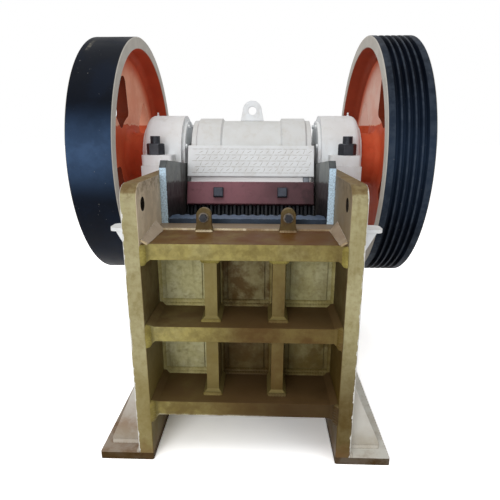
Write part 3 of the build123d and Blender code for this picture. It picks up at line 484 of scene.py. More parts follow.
# Weld metal round the pocket backs, with the enamel thick on it and no dirt, and the panels' painted shade in
# the middle, right and low bays.
POCKET_BEAD = replace(PANEL_KHAKI, name="pocket_weld_metal", base="#BDB377", patch="#CFC792", dust_and_highlight_cover=0.0,
                      round_mm=0)
# The front wall: thin khaki in the pockets, with the panels' painted light and shade, under a beige ledge,
# hammered by stone.
WALL_KHAKI = replace(PANEL_KHAKI, name="ledge_enamel", dust_and_highlight="#84725F", dust_and_highlight_cover=0.9, grain_mm=16,
                     grain_depth_mm=1.2, zones=PANEL_KHAKI.zones + (
    Zone("#84725F", (Bound(Z, 684, soft=2),), 0.9, 0.25, 30),
))
# Weld metal under the same enamel, a little lighter where the brush caught it, with the ribs' brown wash that
# is partly painted shade.
BEAD_KHAKI = replace(RIB_KHAKI, name="khaki_weld_metal", base="#8F8342", patch="#A09450", dust_and_highlight="#8A7B50",
                     round_mm=0, dust_and_highlight_cover=0.3, zones=RIB_KHAKI.zones[:-1])
# Side plates: khaki front strips, beige by the mouth and paler on the left, brown inner faces low in the
# chamber and under the bottom rib as painted shade, darker low down and most on the right partly as painted
# shade, white outside with a ragged edge.
SIDE = replace(KHAKI, name="side_plate_enamel", base="#A09770", patch="#B4AD88", dust_and_highlight_cover=0.0, zones=(
    Zone("#6E5730", (Bound(FACE_Z, 0.45),), 0.9, 0.3, 60),
    # Painted shade on the inner faces low in the chamber, darker on the right plate, and under the bottom rib.
    Zone("#4B3917", (INNER, CHAMBER), 0.92, 0.2, 90),
    Zone("#3A2A10", (Bound(X, 0, 280.5, soft=1), CHAMBER), 0.8, 0.2, 90),
    Zone("#2A2014", (INNER, Bound(Z, high=146, soft=6)), 0.9, 0.2, 40),
    Zone("#84755F", (INNER, MOUTH), 0.95, 0.15, 60),
    Zone("#DDCDB2", (Bound(X, -280.5, 0, soft=1), MOUTH), 0.9, 0.3, 60),
    # Darker low down, most on the right: partly a brown wash, partly painted shade.
    Zone("#4F3D14", (Bound(X, 200, soft=2), Bound(Z, high=330, soft=150)), 1.0, 0.2, 120),
    Zone("#7C6C3A", (LEFT, Bound(Z, high=300, soft=160)), 0.85, 0.35, 120),
    Zone("#5E4A2B", (Bound(Z, 815, soft=35),), 0.7, 0.85, 16),
    Zone("#1E1913", (Bound(Y, -565, -521), Bound(Z, 768, 812), Bound(FACE_SIDE, high=0.5))),
    Zone("#6B4A2A", (Bound(Z, high=55, soft=35, ragged=25),), 0.65, 0.4),
    Zone("#DEDCD6", (Bound(ABS_X, 320), Bound(FACE_SIDE, 0.7)), 1.0, 0.12, 70),
    Zone("#DEDCD6", (Bound(ABS_X, 322, soft=1.2, ragged=4, ragged_mm=22),)),
))
# Beige primer on the feed corners, scraped bright along the front and browner on the right.
BEIGE = Coat("beige_primer", "#A9977F", "#C2B49D", "#7A664C", "#B3A28A", "#E0D9CC", patch_mm=60,
             edge_cover=0.7, dust_and_highlight_cover=0.3, streak_cover=0.2, grain_mm=9, grain_depth_mm=0.7, zones=(
    Zone("#6B4E2C", (RIGHT,), 0.8, 0.35, 40),
))
# Weld metal along the lip, scraped bright by stone and paler still as a painted highlight.
PALE_LIP_WELD = replace(BEIGE, name="worn_and_highlit_weld_metal", base="#B3A07C", patch="#DACEB4", stain="#6E5433",
                  patch_mm=26, dust_and_highlight_cover=0.0, round_mm=0)
# Khaki and rust on the lugs beside the mouth.
LUG = replace(KHAKI, name="rusty_khaki_enamel", base="#5F5233", patch="#76683F", stain="#46341D", patch_mm=30,
              dust_and_highlight="#6A5836", zones=(Zone("#5A4226", (Bound(Z, high=745, soft=20),), 0.6, 0.6, 14),))
# White primer brushed on plate: matt and thinly streaked.
WHITE = Coat("white_primer", "#E9ECEE", "#DADCDC", "#B5AB9B", "#D9D4CA", "#8B8274", patch_cover=0.4,
             stain_cover=0.2, dust_and_highlight_cover=0.25, streak_cover=0.15, grain_mm=2.2,
             grain_depth_mm=0.25, roughness=0.6)
# White primer on iron castings: rougher skin, faint buff stains.
CAST_WHITE = Coat("white_cast_primer", "#EEF2F5", "#E2E4E4", "#B3A997", "#D3CDC2", "#8F8678",
                  patch_cover=0.45, stain_cover=0.25, dust_and_highlight_cover=0.25, streak_cover=0.15, grain_mm=5,
                  grain_depth_mm=0.7, round_mm=4, roughness=0.58)
# The same primer on the pitman, darker as painted shade, with painted light on the white strip under the guard
# plate, where the guard's shadow falls.
PITMAN_WHITE = replace(CAST_WHITE, name="cast_primer_painted_shade_and_light", base="#D8DBDC", patch="#CBCCCA", zones=(
    Zone("#FFFFFF", (Bound(Z, 778, 806, soft=4), Bound(Y, high=60))),
))
# The same primer on bearing covers, smeared with grease.
COVER_WHITE = replace(CAST_WHITE, name="greased_white_primer", zones=(
    Zone("#8A5A44", (Bound(Z, high=900, soft=60),), 0.5, 0.75, 35),
))
# Grey on the raised tread marks of the guard plate, darker than its primer.
TREAD = replace(WHITE, name="grey_tread_primer", base="#B3B0AC", patch="#8F8C87", patch_mm=40, round_mm=0)
# Primer and dirt on the gussets, brown where they stand on the feet.
GUSSET = replace(WHITE, name="splashed_white_primer", base="#C6C3BB", patch="#B1ABA0", zones=(
    Zone("#80603F", (LEFT, Bound(Z, high=150, soft=80)), 0.8, 0.45, 50),
    Zone("#A99F8C", (Bound(Z, high=70, soft=35),), 0.7, 0.5, 50),
))
# Feet: trodden beige on the left, paler on the right, brown front edges.
FOOT = Coat("foot_enamel", "#D7D5CC", "#C5BDAE", "#8A6F52", "#D7D5CC", "#5B4429", patch_cover=0.5,
            roughness=0.6, specular=0.1, zones=(
    Zone("#72502A", (LEFT,), 0.88, 0.3, 70),
    Zone("#3E2A08", (Bound(FACE_Z, high=0.5),), 1.0, 0.1),
))
# Black brushing enamel on the wheel treads: blue-black, with a blue painted reflection across the front, a
# painted highlight on the grooved rim's ridges, grey chips, cream-primed sides and an orange-red bore that is
# darker on the right as painted shade.
RIM = Coat("black_rim_enamel", "#0A0F18", "#131B29", "#07090C", "#141922", "#6F6C66", patch_mm=220,
           stain_cover=0.3, streak_cover=0.1, speck="#8F8D88", speck_mm=12, speck_cover=0.6, roughness=0.5,
           specular=0.04, grain_mm=6, grain_depth_mm=0.12, round_mm=0, zones=(
    # Painted reflection: a blue sheen across the front of each tread.
    Zone("#5A7AA6", (LEFT, Bound(Y, high=0, soft=120), Bound(Z, 880, 940, soft=150)), 0.95, 0.3, 130),
    Zone("#33465F", (RIGHT, Bound(Y, high=0, soft=120), Bound(Z, 800, 1000, soft=200)), 0.55, 0.3, 130),
    # Painted highlight on the ridges of the grooved rim.
    Zone("#4B5460", (RIGHT, Bound(RADIUS, 484, soft=0.8)), 0.4, 0.6, 40),
    Zone("#8A8578", (Bound(X, -600, -586), Bound(Z, 1262, 1316), Bound(Y, high=200)), 0.55, 0.95, 22),
    Zone("#C8C4BB", (Bound(ABS_X, high=463.2, soft=0.8),), 1.0, 0.08, 60),
    Zone("#C8C4BB", (Bound(ABS_X, 620.8, soft=0.8),), 1.0, 0.08, 60),
    # The bore, darker on the right wheel as painted shade.
    Zone("#C5573B", (LEFT, RIM_BORE), 1.0, 0.1, 80),
    Zone("#9C4630", (RIGHT, RIM_BORE), 1.0, 0.1, 80),
))
# Red oxide primer on the wheels' insides: orange red, matt.
WEB = Coat("red_oxide_primer", "#CC5837", "#D66945", "#984228", "#CC5837", "#CC5837", patch_mm=110,
           stain_cover=0.3, streak_cover=0.2, roughness=0.6, round_mm=0, specular=0.1)
# The same primer on the webs: a pale patch above a wavy line, paler on the right and with a lighter line along
# its edge, is painted light; the rear windows' walls carry the same painted light, and the front windows'
# walls are dark as painted shade.
PLATE = replace(WEB, name="oxide_primer_painted_light", zones=(
    # Painted light: a pale patch on the upper web above a wavy line.
    Zone("#F2B092", PAINTED_LIGHT_PATCH, 0.95, 0.25, 90),
    Zone("#EFD6CC", (RIGHT, *PAINTED_LIGHT_PATCH), 0.65, 0.3, 90),
    Zone("#F6C6A6", (Bound(Z, 1007, 1013, soft=2, ragged=10, ragged_mm=70), Bound(FACE_SIDE, 0.9),
                     Bound(ABS_X, high=560)), 0.8, 0.3, 40),
    # Painted shade on the walls of the front windows.
    Zone("#6B2813", (*WINDOW, Bound(Y, high=WHEEL_Y))),
    # The same painted light on the walls of the rear windows.
    Zone("#F2B092", REAR_WINDOW, 0.9),
    Zone("#EFD6CC", (RIGHT, *REAR_WINDOW), 0.65),
))
# Maroon oxide primer on the wedge bar, darker on the right.
MAROON = Coat("maroon_oxide_primer", "#86545D", "#926068", "#47292E", "#5D3437", "#A59692", patch_mm=70,
              patch_cover=0.5, dust_and_highlight_cover=0.2, edge_cover=0.35, roughness=0.5, zones=(
    Zone("#2C1317", (Bound(X, 40, soft=160),), 0.95, 0.2, 60),
))
# Raw manganese steel castings: blue-black scale, darkened to near black as painted shade, with a metal glint
# on the crests.
JAW = Coat("manganese_steel", "#0D0E12", "#171B21", "#08090B", "#171B21", "#3A3F48", patch_mm=45,
           dust_and_highlight_cover=0.7, grain_mm=4, grain_depth_mm=0.8, roughness=0.5, metallic=0.2)
# The same steel where stone has polished the fixed jaw's top, with pale blue edges that are partly painted
# highlights.
POLISHED_JAW = replace(JAW, name="polished_manganese_steel", base="#28323F", patch="#43536A", stain="#12151A",
                       dust_and_highlight="#4C5F78", edge="#93A7BF", edge_cover=0.5, zones=(
    Zone("#1E2B3A", (FORWARD,), 0.85, 0.3, 30),
))
# Cheek plates: scoured grey steel, pale blue front edges, maroon-black low down, near black lower still and
# dark towards the back as painted shade, dark dirt on top.
CHEEK = Coat("scoured_cheek_steel", "#7F8585", "#929894", "#4C4A48", "#1D1F24", "#1B222C", patch_mm=50,
             dust_and_highlight_cover=1.0, edge_cover=1.0, round_mm=4, specular=0.3, zones=(
    Zone("#281B20", (Bound(TIDE, high=793, soft=4, ragged=5),), 0.95, 0.1),
    # Painted shade deep in the chamber, low on the cheek.
    Zone("#0B090B", (Bound(TIDE, high=736, soft=5, ragged=5),), 0.95, 0.0),
    # Painted shade on the back part, towards the pitman.
    Zone("#2B2623", (Bound(Y, -95, soft=10),), 0.85, 0.2),
    Zone("#D2ECFF", (CHEEK_EDGE,), 1.0, 0.0, 9),
    Zone("#3A5674", (CHEEK_EDGE,), 0.4, 1.0, 5),
))
# Blued steel of nuts, studs and springs: dark, with bright rubbed corners.
BLUED = Coat("blued_steel", "#2A2C32", "#3A3D45", "#18191C", "#43464E", "#7C828B", patch_mm=25,
             edge_cover=0.55, dust_and_highlight_cover=0.4, roughness=0.45, metallic=0.3, round_mm=1.2)
# Blued bolts through rusty washers.
LUG_BOLT = replace(BLUED, name="blued_bolt_rusty_washer", base="#1B1C21", patch="#2A2C33",
                   dust_and_highlight_cover=0.1, zones=(
    Zone("#8E8272", (Bound(Y, -434.2, -429.5, soft=0.4),), 0.9, 0.4, 10),
))
# Blued square nuts whose sides and rounded edges are painted black as painted shade.
BAR_NUT = replace(BLUED, name="square_nut_steel_painted_shade", base="#3B3F49", patch="#4B505C", edge="#0B0C0E",
                  edge_cover=1.0, round_mm=4.0, zones=(Zone("#0E0F12", (Bound(FACE_Y, -0.6),)),))
# Bare square nut under the guard plate, rubbed grey, with the same painted shade on its sides and edges.
GUARD_NUT = replace(BAR_NUT, name="rubbed_square_nut_steel", base="#7B8088", patch="#90959D")
# Turned shaft steel: bright, lightly rusted.
TURNED = Coat("turned_steel", "#8B8C8C", "#9D9E9E", "#5A5148", "#6B5B48", "#B9BABA", patch_mm=60,
              edge_cover=0.3, dust_and_highlight_cover=0.2, roughness=0.38, metallic=0.8)


class MeshPile:
    """Collects surface grids and makes one mesh object of them."""

    def __init__(self) -> None:
        """Start an empty pile."""
        self.points: list[np.ndarray] = []
        self.quads: list[np.ndarray] = []
        self.count = 0

    def grids(self, points: np.ndarray) -> None:
        """Add a stack of surface grids, each closed round its columns.

        Args:
            points: Array of shape (copies, rows, columns, 3) in millimetres.
        """
        copies, rows, columns, _ = points.shape
        index = np.arange(copies * rows * columns).reshape(copies, rows, columns) + self.count
        index = np.concatenate([index, index[:, :, :1]], axis=2)
        corners = (index[:, :-1, :-1], index[:, 1:, :-1], index[:, 1:, 1:], index[:, :-1, 1:])
        self.quads.append(np.stack(corners, axis=-1).reshape(-1, 4))
        self.points.append(points.reshape(-1, 3))
        self.count += copies * rows * columns

    def bead(self, start: Vec, end: Vec, along_a: Vec, along_b: Vec, leg: float) -> None:
        """Add one fillet weld, as weld_bead shapes it."""
        self.grids(weld_bead(start, end, along_a, along_b, leg))

    def publish(self, name: str, coat: Coat, body: str, slot: str) -> bpy.types.Object:
        """Make the object, close its poles, turn its faces outwards and let it ride.

        Args:
            name: The piece's name.
            coat: Its finish.
            body: The CAD body it moves with.
            slot: Not used.

        Returns:
            The new object.
        """
        mesh = bpy.data.meshes.new(name)
        mesh.from_pydata(np.concatenate(self.points) * MM, [], np.concatenate(self.quads))
        work = bmesh.new()
        work.from_mesh(mesh)
        bmesh.ops.remove_doubles(work, verts=work.verts, dist=SAME_PLACE)
        bmesh.ops.recalc_face_normals(work, faces=work.faces)
        work.to_mesh(mesh)
        work.free()
        mesh.shade_smooth()
        mesh.set_sharp_from_angle(angle=SHARP)
        mesh.materials.append(coat.material())
        piece = bpy.data.objects.new(name, mesh)
        bpy.context.scene.collection.objects.link(piece)
        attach(piece, body)
        log.info("%s: %d faces", name, len(mesh.polygons))
        return piece


def paint(coats: dict[str, Coat]) -> None:
    """Put finishes on CAD nodes.

    Args:
        coats: The finish of each node.
    """
    for node, coat in coats.items():
        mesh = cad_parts[node].data
        mesh.materials.clear()
        mesh.materials.append(coat.material())
        log.info("%s: %s", node, coat.name)


def weld_bead(start: Vec, end: Vec, along_a: Vec, along_b: Vec, leg: float) -> np.ndarray:
    """Surface of a fillet weld: a bulged quarter section carried along a line, its leg rippled by puddles.

    The ripple is a sine of the distance along the weld, held back in the middle of the section, so that
    each puddle is a crescent, and the legs shrink to nothing at both ends along a quarter circle.

    Args:
        start: One end of the corner line, in millimetres.
        end: The other end.
        along_a: Unit direction up one wall.
        along_b: Unit direction up the other wall.
        leg: Leg length.

    Returns:
        A stack of one grid.
    """
    pitch, ripple_share, lag, bow, root_depth = 9.0, 0.06, 0.4, 0.55, 0.4
    rows_a_puddle, least_rows, columns = 5, 12, 7
    begin, finish, a, b = (np.array(v, float) for v in (start, end, along_a, along_b))
    length = float(np.linalg.norm(finish - begin))
    s = np.linspace(0, length, max(least_rows, int(length / pitch * rows_a_puddle)))
    v = np.linspace(0, 1, columns)
    swell = np.sqrt(np.clip(1 - (1 - np.clip(np.minimum(s, length - s) / leg, 0, 1)) ** 2, 0, 1))
    crescent = lag * pitch * (1 - (2 * v - 1) ** 2)
    ripple = 1 + ripple_share * np.sin(2 * np.pi * (s[:, None] - crescent) / pitch)
    reach_a = leg * ((1 - bow) * (1 - v) + bow * np.cos(v * np.pi / 2))
    reach_b = leg * ((1 - bow) * v + bow * np.sin(v * np.pi / 2))
    size = swell[:, None] * ripple
    line = begin + (finish - begin) * (s / length)[:, None]
    skin = line[:, None] + (size * reach_a)[..., None] * a + (size * reach_b)[..., None] * b
    root = line[:, None] - root_depth * swell[:, None, None] * (a + b)
    return np.concatenate([skin, root], axis=1)[None]


def round_about(axis: int, height: np.ndarray, radius: np.ndarray, centre: Vec) -> np.ndarray:
    """Surface round an axis: each row's height lies along it, each row's radius is carried round.

    Args:
        axis: 0, 1 or 2 for X, Y or Z.
        height: Heights of the rows, of shape (rows, 1) or (rows, columns).
        radius: Radii, of shape (rows, columns).
        centre: Where height zero lies.

    Returns:
        A stack of one grid.
    """
    angle = np.linspace(0, 2 * np.pi, radius.shape[1], endpoint=False)
    grid = np.zeros(radius.shape + (3,))
    grid[..., axis] = height
    grid[..., (axis + 1) % 3] = radius * np.cos(angle)
    grid[..., (axis + 2) % 3] = radius * np.sin(angle)
    return (grid + np.array(centre, float))[None]


def hex_piece(flats: float, height: float, centre: Vec, axis: int, bore: float = 0.0,
              sign: float = 1.0) -> np.ndarray:
    """Surface of a nut or bolt head: the hexagon's radius at each angle, cut by a 30 degree cone at the end.

    Args:
        flats: Width across flats.
        height: Height along the axis.
        centre: Middle of the seat.
        axis: 0, 1 or 2 for X, Y or Z.
        bore: Radius of the hole, 0 for none.
        sign: 1 or -1, the way it stands along the axis.

    Returns:
        A stack of one grid.
    """
    columns, cone_deg, end_share = 48, 60.0, 0.97
    angle = np.linspace(0, 2 * np.pi, columns, endpoint=False)
    hexagon = flats / 2 / np.cos(angle % (np.pi / 3) - np.pi / 6)
    rise = np.array([0.0, 0.0, 0.06, 0.8, 0.86, 0.92, 0.96, 1.0, 1.0]) * height
    cone = (height - rise) * math.tan(math.radians(cone_deg)) + flats / 2 * end_share
    radius = np.minimum(hexagon[None], cone[:, None])
    radius[0] = bore
    radius[-1] = bore
    return round_about(axis, sign * rise[:, None], radius, centre)


def threaded(radius: float, depth: float, pitch: float, height: float, centre: Vec) -> np.ndarray:
    """Surface of an upright threaded end: the radius follows a cosine of height over pitch less the angle.

    Args:
        radius: Outer radius.
        depth: Depth of the thread.
        pitch: Rise of one turn.
        height: Height of the end.
        centre: Middle of its foot.

    Returns:
        A stack of one grid.
    """
    columns, rows_a_turn = 32, 8
    angle = np.linspace(0, 2 * np.pi, columns, endpoint=False)
    rise = np.linspace(0, height, int(height / pitch * rows_a_turn))[:, None]
    wave = 0.5 + 0.5 * np.cos(2 * np.pi * rise / pitch - angle)
    cone = radius - depth + np.clip(height - rise, 0, depth * 2)
    body = np.minimum(radius - depth * wave, cone)
    ends = np.zeros((1, columns))
    rows = np.concatenate([ends, body, ends])
    return round_about(2, np.concatenate([rise[:1], rise, rise[-1:]]), rows, centre)


def slab(origin: np.ndarray, axes: Axes, length: float, height: float, thick: float,
         edge: float) -> np.ndarray:
    """Surface of a thin plate: a rectangle whose rim rolls back over a quarter circle to the front.

    Args:
        origin: Middle of the plate's back.
        axes: Unit directions of its length, its height and the way it stands out.
        length: Length.
        height: Height.
        thick: Thickness.
        edge: Radius of the rolled rim.

    Returns:
        A stack of one grid, from the back's middle to the front's.
    """
    rim_rows = 4
    roll = np.linspace(0, np.pi / 2, rim_rows)
    middle = min(length, height) / 2
    inset = np.concatenate([[middle, 0.0], edge * (1 - np.cos(roll)), [middle]])
    rise = np.concatenate([[0.0, 0.0], thick - edge + edge * np.sin(roll), [thick]])
    corner = np.array([[1, 1], [-1, 1], [-1, -1], [1, -1]], float)
    half = np.array([length, height]) / 2
    flat = corner[None] * np.maximum(half - inset[:, None], 0.0)[:, None, :]
    x, z, y = np.array(axes, float)
    grid = np.array(origin, float) + flat[..., :1] * x + flat[..., 1:] * z + rise[:, None, None] * y
    return grid[None]


def lozenges(places: np.ndarray, tilt: np.ndarray, axes: Axes, half: float, wide: float,
             tall: float) -> np.ndarray:
    """Surfaces of raised tread marks: elliptic domes whose height falls off as the square of the distance.

    Args:
        places: Middles on the plate, of shape (copies, 3).
        tilt: Turn of each mark in the plate, in radians.
        axes: Unit directions of the plate's length, its height and off the plate.
        half: Half the length of a mark.
        wide: Half its width.
        tall: Its height.

    Returns:
        A stack of grids, one for each mark.
    """
    rings, columns, sunk = 5, 16, 0.2
    ring = np.linspace(1, 0, rings)[None, :, None]
    angle = np.linspace(0, 2 * np.pi, columns, endpoint=False)[None, None]
    p, q = ring * half * np.cos(angle), ring * wide * np.sin(angle)
    c, s = np.cos(tilt)[:, None, None], np.sin(tilt)[:, None, None]
    rise = tall * (1 - ring ** 2) - sunk
    x, z, y = np.array(axes, float)
    flat = (p * c - q * s)[..., None] * x + (p * s + q * c)[..., None] * z
    return places[:, None, None] + flat + (rise + 0 * p)[..., None] * y


@dataclass
class WeldedFrame:
    """The ribbed front, side plates, feet and rear wall, with their weld beads and pocket panels."""

    pocket_leg: float = 9.0
    pocket_step: float = 12.0
    collar_leg: float = 14.0
    corner_leg: float = 4.5
    foot_leg: float = 7.0
    head_leg: float = 13.0
    lip_leg: float = 6.0
    lip_rise: float = 2.0
    lug_out: float = 128.0
    lug_leg: float = 7.0
    joint_leg: float = 9.0
    panel_margin: float = 22.0
    panel_thick: float = 6.0
    panel_edge: float = 2.5
    rib_flare: float = 14.0
    upright_flare: float = 12.0
    upright_thick: float = 37.0
    gusset_thick: float = 18.0
    corner_width: float = 20.0
    corner_rise: float = 12.0
    corner_across: float = 0.5
    corner_up: float = 0.87

    def dress(self) -> None:
        """Give every frame node its finish."""
        paint({
            "front_wall": WALL_KHAKI, "front_bottom_rib": RIB_KHAKI, "front_middle_rib": RIB_KHAKI,
            "front_top_rib": TOP_KHAKI, "front_uprights": UPRIGHT_KHAKI, "feed_corners": BEIGE,
            "front_lugs": LUG, "front_lug_bolts": LUG_BOLT, "rear_wall": KHAKI, "rear_wall_ribs": KHAKI,
            "toggle_block": KHAKI, "toggle_plate": KHAKI, "spring_cup": KHAKI, "left_side_plate": SIDE,
            "right_side_plate": SIDE, "left_foot": FOOT, "right_foot": FOOT, "foot_gussets": GUSSET,
            "side_brackets": WHITE,
        })

    def build(self) -> None:
        """Add the pocket panels and every weld bead."""
        self.pockets()
        self.front_welds()
        self.outer_welds()
        self.rear_welds()

    @property
    def inner(self) -> float:
        """Distance of the side plates' inner faces from the middle plane."""
        return mm_box("right_side_plate")[0][0]

    def pockets(self) -> None:
        """Line the six pockets of the front with panels and heavy fillet welds."""
        inner = self.inner
        face = mm_box("front_wall")[0][1]
        outer = mm_box("front_uprights")[1][0] - self.upright_flare
        bays = ((-inner, -outer), (self.upright_thick - outer, outer - self.upright_thick), (outer, inner))
        ribs = [mm_box(n) for n in ("front_bottom_rib", "front_middle_rib", "front_top_rib")]
        leg = self.pocket_leg
        welds, panels = MeshPile(), MeshPile()
        for low_rib, high_rib in zip(ribs[:-1], ribs[1:]):
            low, high = low_rib[1][2] - self.rib_flare, high_rib[0][2] + self.rib_flare
            for left, right in bays:
                for z in (low, low + self.pocket_step):
                    welds.bead((left, face, z), (right, face, z), AHEAD, UP, leg)
                for x, inward in ((left, 1), (right, -1)):
                    welds.bead((x, face, low), (x, face, high), AHEAD, (inward, 0, 0), leg)
                width = right - left - 2 * self.panel_margin
                height = high - low - self.panel_margin
                middle = np.array([(left + right) / 2, face, low + self.panel_margin + height / 2])
                panels.grids(slab(middle, FRONT, width, height, self.panel_thick, self.panel_edge))
        welds.publish("pocket_weld_beads", POCKET_BEAD, "frame", "frame_paint")
        panels.publish("front_pocket_panels", PANEL_KHAKI, "frame", "frame_paint")

    def front_welds(self) -> None:
        """Weld the ribs' ends to the side plates, the uprights to the ribs and the corners to the top rib."""
        inner = self.inner
        leg = self.collar_leg
        welds, pale_beads = MeshPile(), MeshPile()
        for node in ("front_bottom_rib", "front_middle_rib", "front_top_rib"):
            low, high = mm_box(node)
            for side in SIDES:
                x = side * inner
                welds.bead((x, low[1], low[2]), (x, low[1], high[2]), AHEAD, (-side, 0, 0), leg)
        forward, outer = mm_box("front_uprights")[0][1], mm_box("front_uprights")[1][0]
        flare = self.upright_flare
        inside = outer - self.upright_thick - 2 * flare
        for under, over in (("front_bottom_rib", "front_middle_rib"), ("front_middle_rib", "front_top_rib")):
            floor = mm_box(under)[1][2] - self.rib_flare
            neck = mm_box(over)[0][2] + self.rib_flare - flare
            for side in SIDES:
                foot = ((side * inside, forward, floor), (side * outer, forward, floor))
                head = ((side * inside, forward + flare, neck), (side * outer, forward + flare, neck))
                welds.bead(*foot, AHEAD, UP, self.foot_leg)
                welds.bead(*head, AHEAD, (0, 0, -1), self.head_leg)
        front = mm_box("front_top_rib")[0][1]
        top = mm_box("feed_corners")[0][2]
        for side in SIDES:
            high = (side * inner, front, top + self.corner_rise)
            low = (side * (inner - self.corner_width), front, top)
            slope = (-side * self.corner_across, 0, self.corner_up)
            pale_beads.bead(high, low, AHEAD, slope, self.corner_leg)
        self.lip(pale_beads)
        welds.publish("rib_weld_beads", BEAD_KHAKI, "frame", "frame_paint")
        pale_beads.publish("mouth_weld_beads", PALE_LIP_WELD, "frame", "frame_paint")

    def lip(self, pile: MeshPile) -> None:
        """Weld the wall's lip and the lugs' feet to the top rib.

        Args:
            pile: Where the beads go.
        """
        rib, lugs, wall = mm_box("front_top_rib"), mm_box("front_lugs"), mm_box("front_wall")
        inner, face, front = self.inner, wall[0][1], lugs[0][1]
        level = wall[1][2] - self.lip_leg
        pile.bead((-inner, face, level), (inner, face, level), AHEAD, UP, self.lip_leg)
        half, foot = lugs[1][0] - self.lug_out, rib[1][2] - self.lip_rise
        for x in (-self.lug_out, self.lug_out):
            pile.bead((x - half, front, foot), (x + half, front, foot), AHEAD, UP, self.lug_leg)

    def outer_welds(self) -> None:
        """Weld feet, gussets, brackets and pedestals to the side plates' outer faces."""
        outer = mm_box("right_side_plate")[1][0]
        foot = mm_box("right_foot")
        gusset = mm_box("foot_gussets")
        bracket = mm_box("side_brackets")
        block = mm_box("right_bearing_pedestal")
        leg, floor = self.joint_leg, foot[1][2]
        ranks = np.linspace(gusset[0][1], gusset[1][1] - self.gusset_thick, 3)
        runs = ((foot, floor, 1), (block, block[0][2], -1), (bracket, bracket[1][2], 1))
        welds = MeshPile()
        for side in SIDES:
            x, away = side * outer, (side, 0, 0)
            for (low, high), z, up in runs:
                welds.bead((x, low[1], z), (x, high[1], z), away, (0, 0, up), leg)
            for y, look in ((block[0][1], -1), (block[1][1], 1)):
                welds.bead((x, y, block[0][2]), (x, y, block[1][2]), away, (0, look, 0), leg)
            for front in ranks:
                for y, look in ((front, -1), (front + self.gusset_thick, 1)):
                    toe = (side * gusset[1][0], y, floor)
                    welds.bead((x, y, floor), (x, y, gusset[1][2]), away, (0, look, 0), leg)
                    welds.bead((x, y, floor), toe, UP, (0, look, 0), leg)
        welds.publish("outer_weld_beads", GUSSET, "frame", "white_paint")

    def rear_welds(self) -> None:
        """Weld the rear wall between the side plates."""
        inner = self.inner
        low, high = mm_box("rear_wall")
        leg = self.joint_leg
        welds = MeshPile()
        for side in SIDES:
            x = side * inner
            for y, look in ((low[1], -1), (high[1], 1)):
                welds.bead((x, y, low[2]), (x, y, high[2]), (0, look, 0), (-side, 0, 0), leg)
        welds.publish("rear_weld_beads", BEAD_KHAKI, "frame", "frame_paint")


@dataclass
class CrushingChamber:
    """The jaw plate that stays and the cheeks beside it."""

    def dress(self) -> None:
        """Give the fixed wearing parts their finish."""
        paint({"fixed_jaw_plate": POLISHED_JAW, "left_cheek_plate": CHEEK, "right_cheek_plate": CHEEK})


@dataclass
class Bearings:
    """Housings, pedestals and covers with their nuts, threads, cover bolts and grease nipples."""

    nut_flats: float = 62.0
    stud_radius: float = 19.0
    thread_pitch: float = 4.0
    thread_depth: float = 1.6
    cover_face: float = 273.0
    cover_bolts: int = 8
    cover_circle: float = 143.0
    cover_flats: float = 17.0
    cover_head: float = 8.0
    nipple_inset: float = 30.0
    nipple_height: float = 14.0
    nipple_root: float = 3.0
    nipple_columns: int = 20

    def dress(self) -> None:
        """Give every bearing node its finish."""
        paint({
            "left_bearing_housing": CAST_WHITE, "right_bearing_housing": CAST_WHITE,
            "left_bearing_pedestal": WHITE, "right_bearing_pedestal": WHITE, "bearing_covers": COVER_WHITE,
            "bearing_studs": BLUED, "bearing_nuts": BLUED,
        })

    def build(self) -> None:
        """Add chamfered nuts, stud threads, cover bolts and grease nipples."""
        nut, stud = mm_box("bearing_nuts"), mm_box("bearing_studs")
        across = stud[1][0] - self.stud_radius
        near, far = stud[0][1] + self.stud_radius, stud[1][1] - self.stud_radius
        tall, thread = nut[1][2] - nut[0][2], self.stud_radius + self.thread_depth / 2
        nuts, threads = MeshPile(), MeshPile()
        for x in (-across, across):
            for y in (near, far):
                nuts.grids(hex_piece(self.nut_flats, tall, (x, y, nut[0][2]), 2, self.stud_radius))
                threads.grids(threaded(thread, self.thread_depth, self.thread_pitch, stud[1][2] - nut[1][2],
                                       (x, y, nut[1][2])))
        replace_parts(nuts.publish("chamfered_bearing_nuts", BLUED, "frame", "fastener_steel"), "bearing_nuts")
        threads.publish("stud_threads", BLUED, "frame", "fastener_steel")
        self.covers()
        self.nipples()

    def covers(self) -> None:
        """Bolt the inner covers down on a circle round the shaft."""
        heads = MeshPile()
        for side in SIDES:
            for i in range(self.cover_bolts):
                angle = 2 * math.pi * (i + 0.5) / self.cover_bolts
                y = WHEEL_Y + self.cover_circle * math.cos(angle)
                z = WHEEL_Z + self.cover_circle * math.sin(angle)
                heads.grids(hex_piece(self.cover_flats, self.cover_head, (side * self.cover_face, y, z), 0,
                                      sign=-side))
        heads.publish("cover_bolt_heads", CAST_WHITE, "frame", "white_paint")

    def nipples(self) -> None:
        """Screw a grease nipple, a turned profile, into each housing's top over the shaft."""
        high = mm_box("right_bearing_housing")[1]
        shares = np.array([0, 0.3, 0.3, 0.45, 0.6, 0.75, 0.9, 1, 1])
        rise = np.concatenate([[-self.nipple_root], shares * self.nipple_height])[:, None]
        girth_shares = np.array([0.36, 0.36, 0.36, 0.18, 0.18, 0.27, 0.3, 0.22, 0.12, 0])
        radius = girth_shares[:, None] * self.nipple_height * np.ones(self.nipple_columns)
        pile = MeshPile()
        for side in SIDES:
            pile.grids(round_about(2, rise, radius, (side * (high[0] - self.nipple_inset), WHEEL_Y, high[2])))
        pile.publish("grease_nipples", CAST_WHITE, "frame", "white_paint")


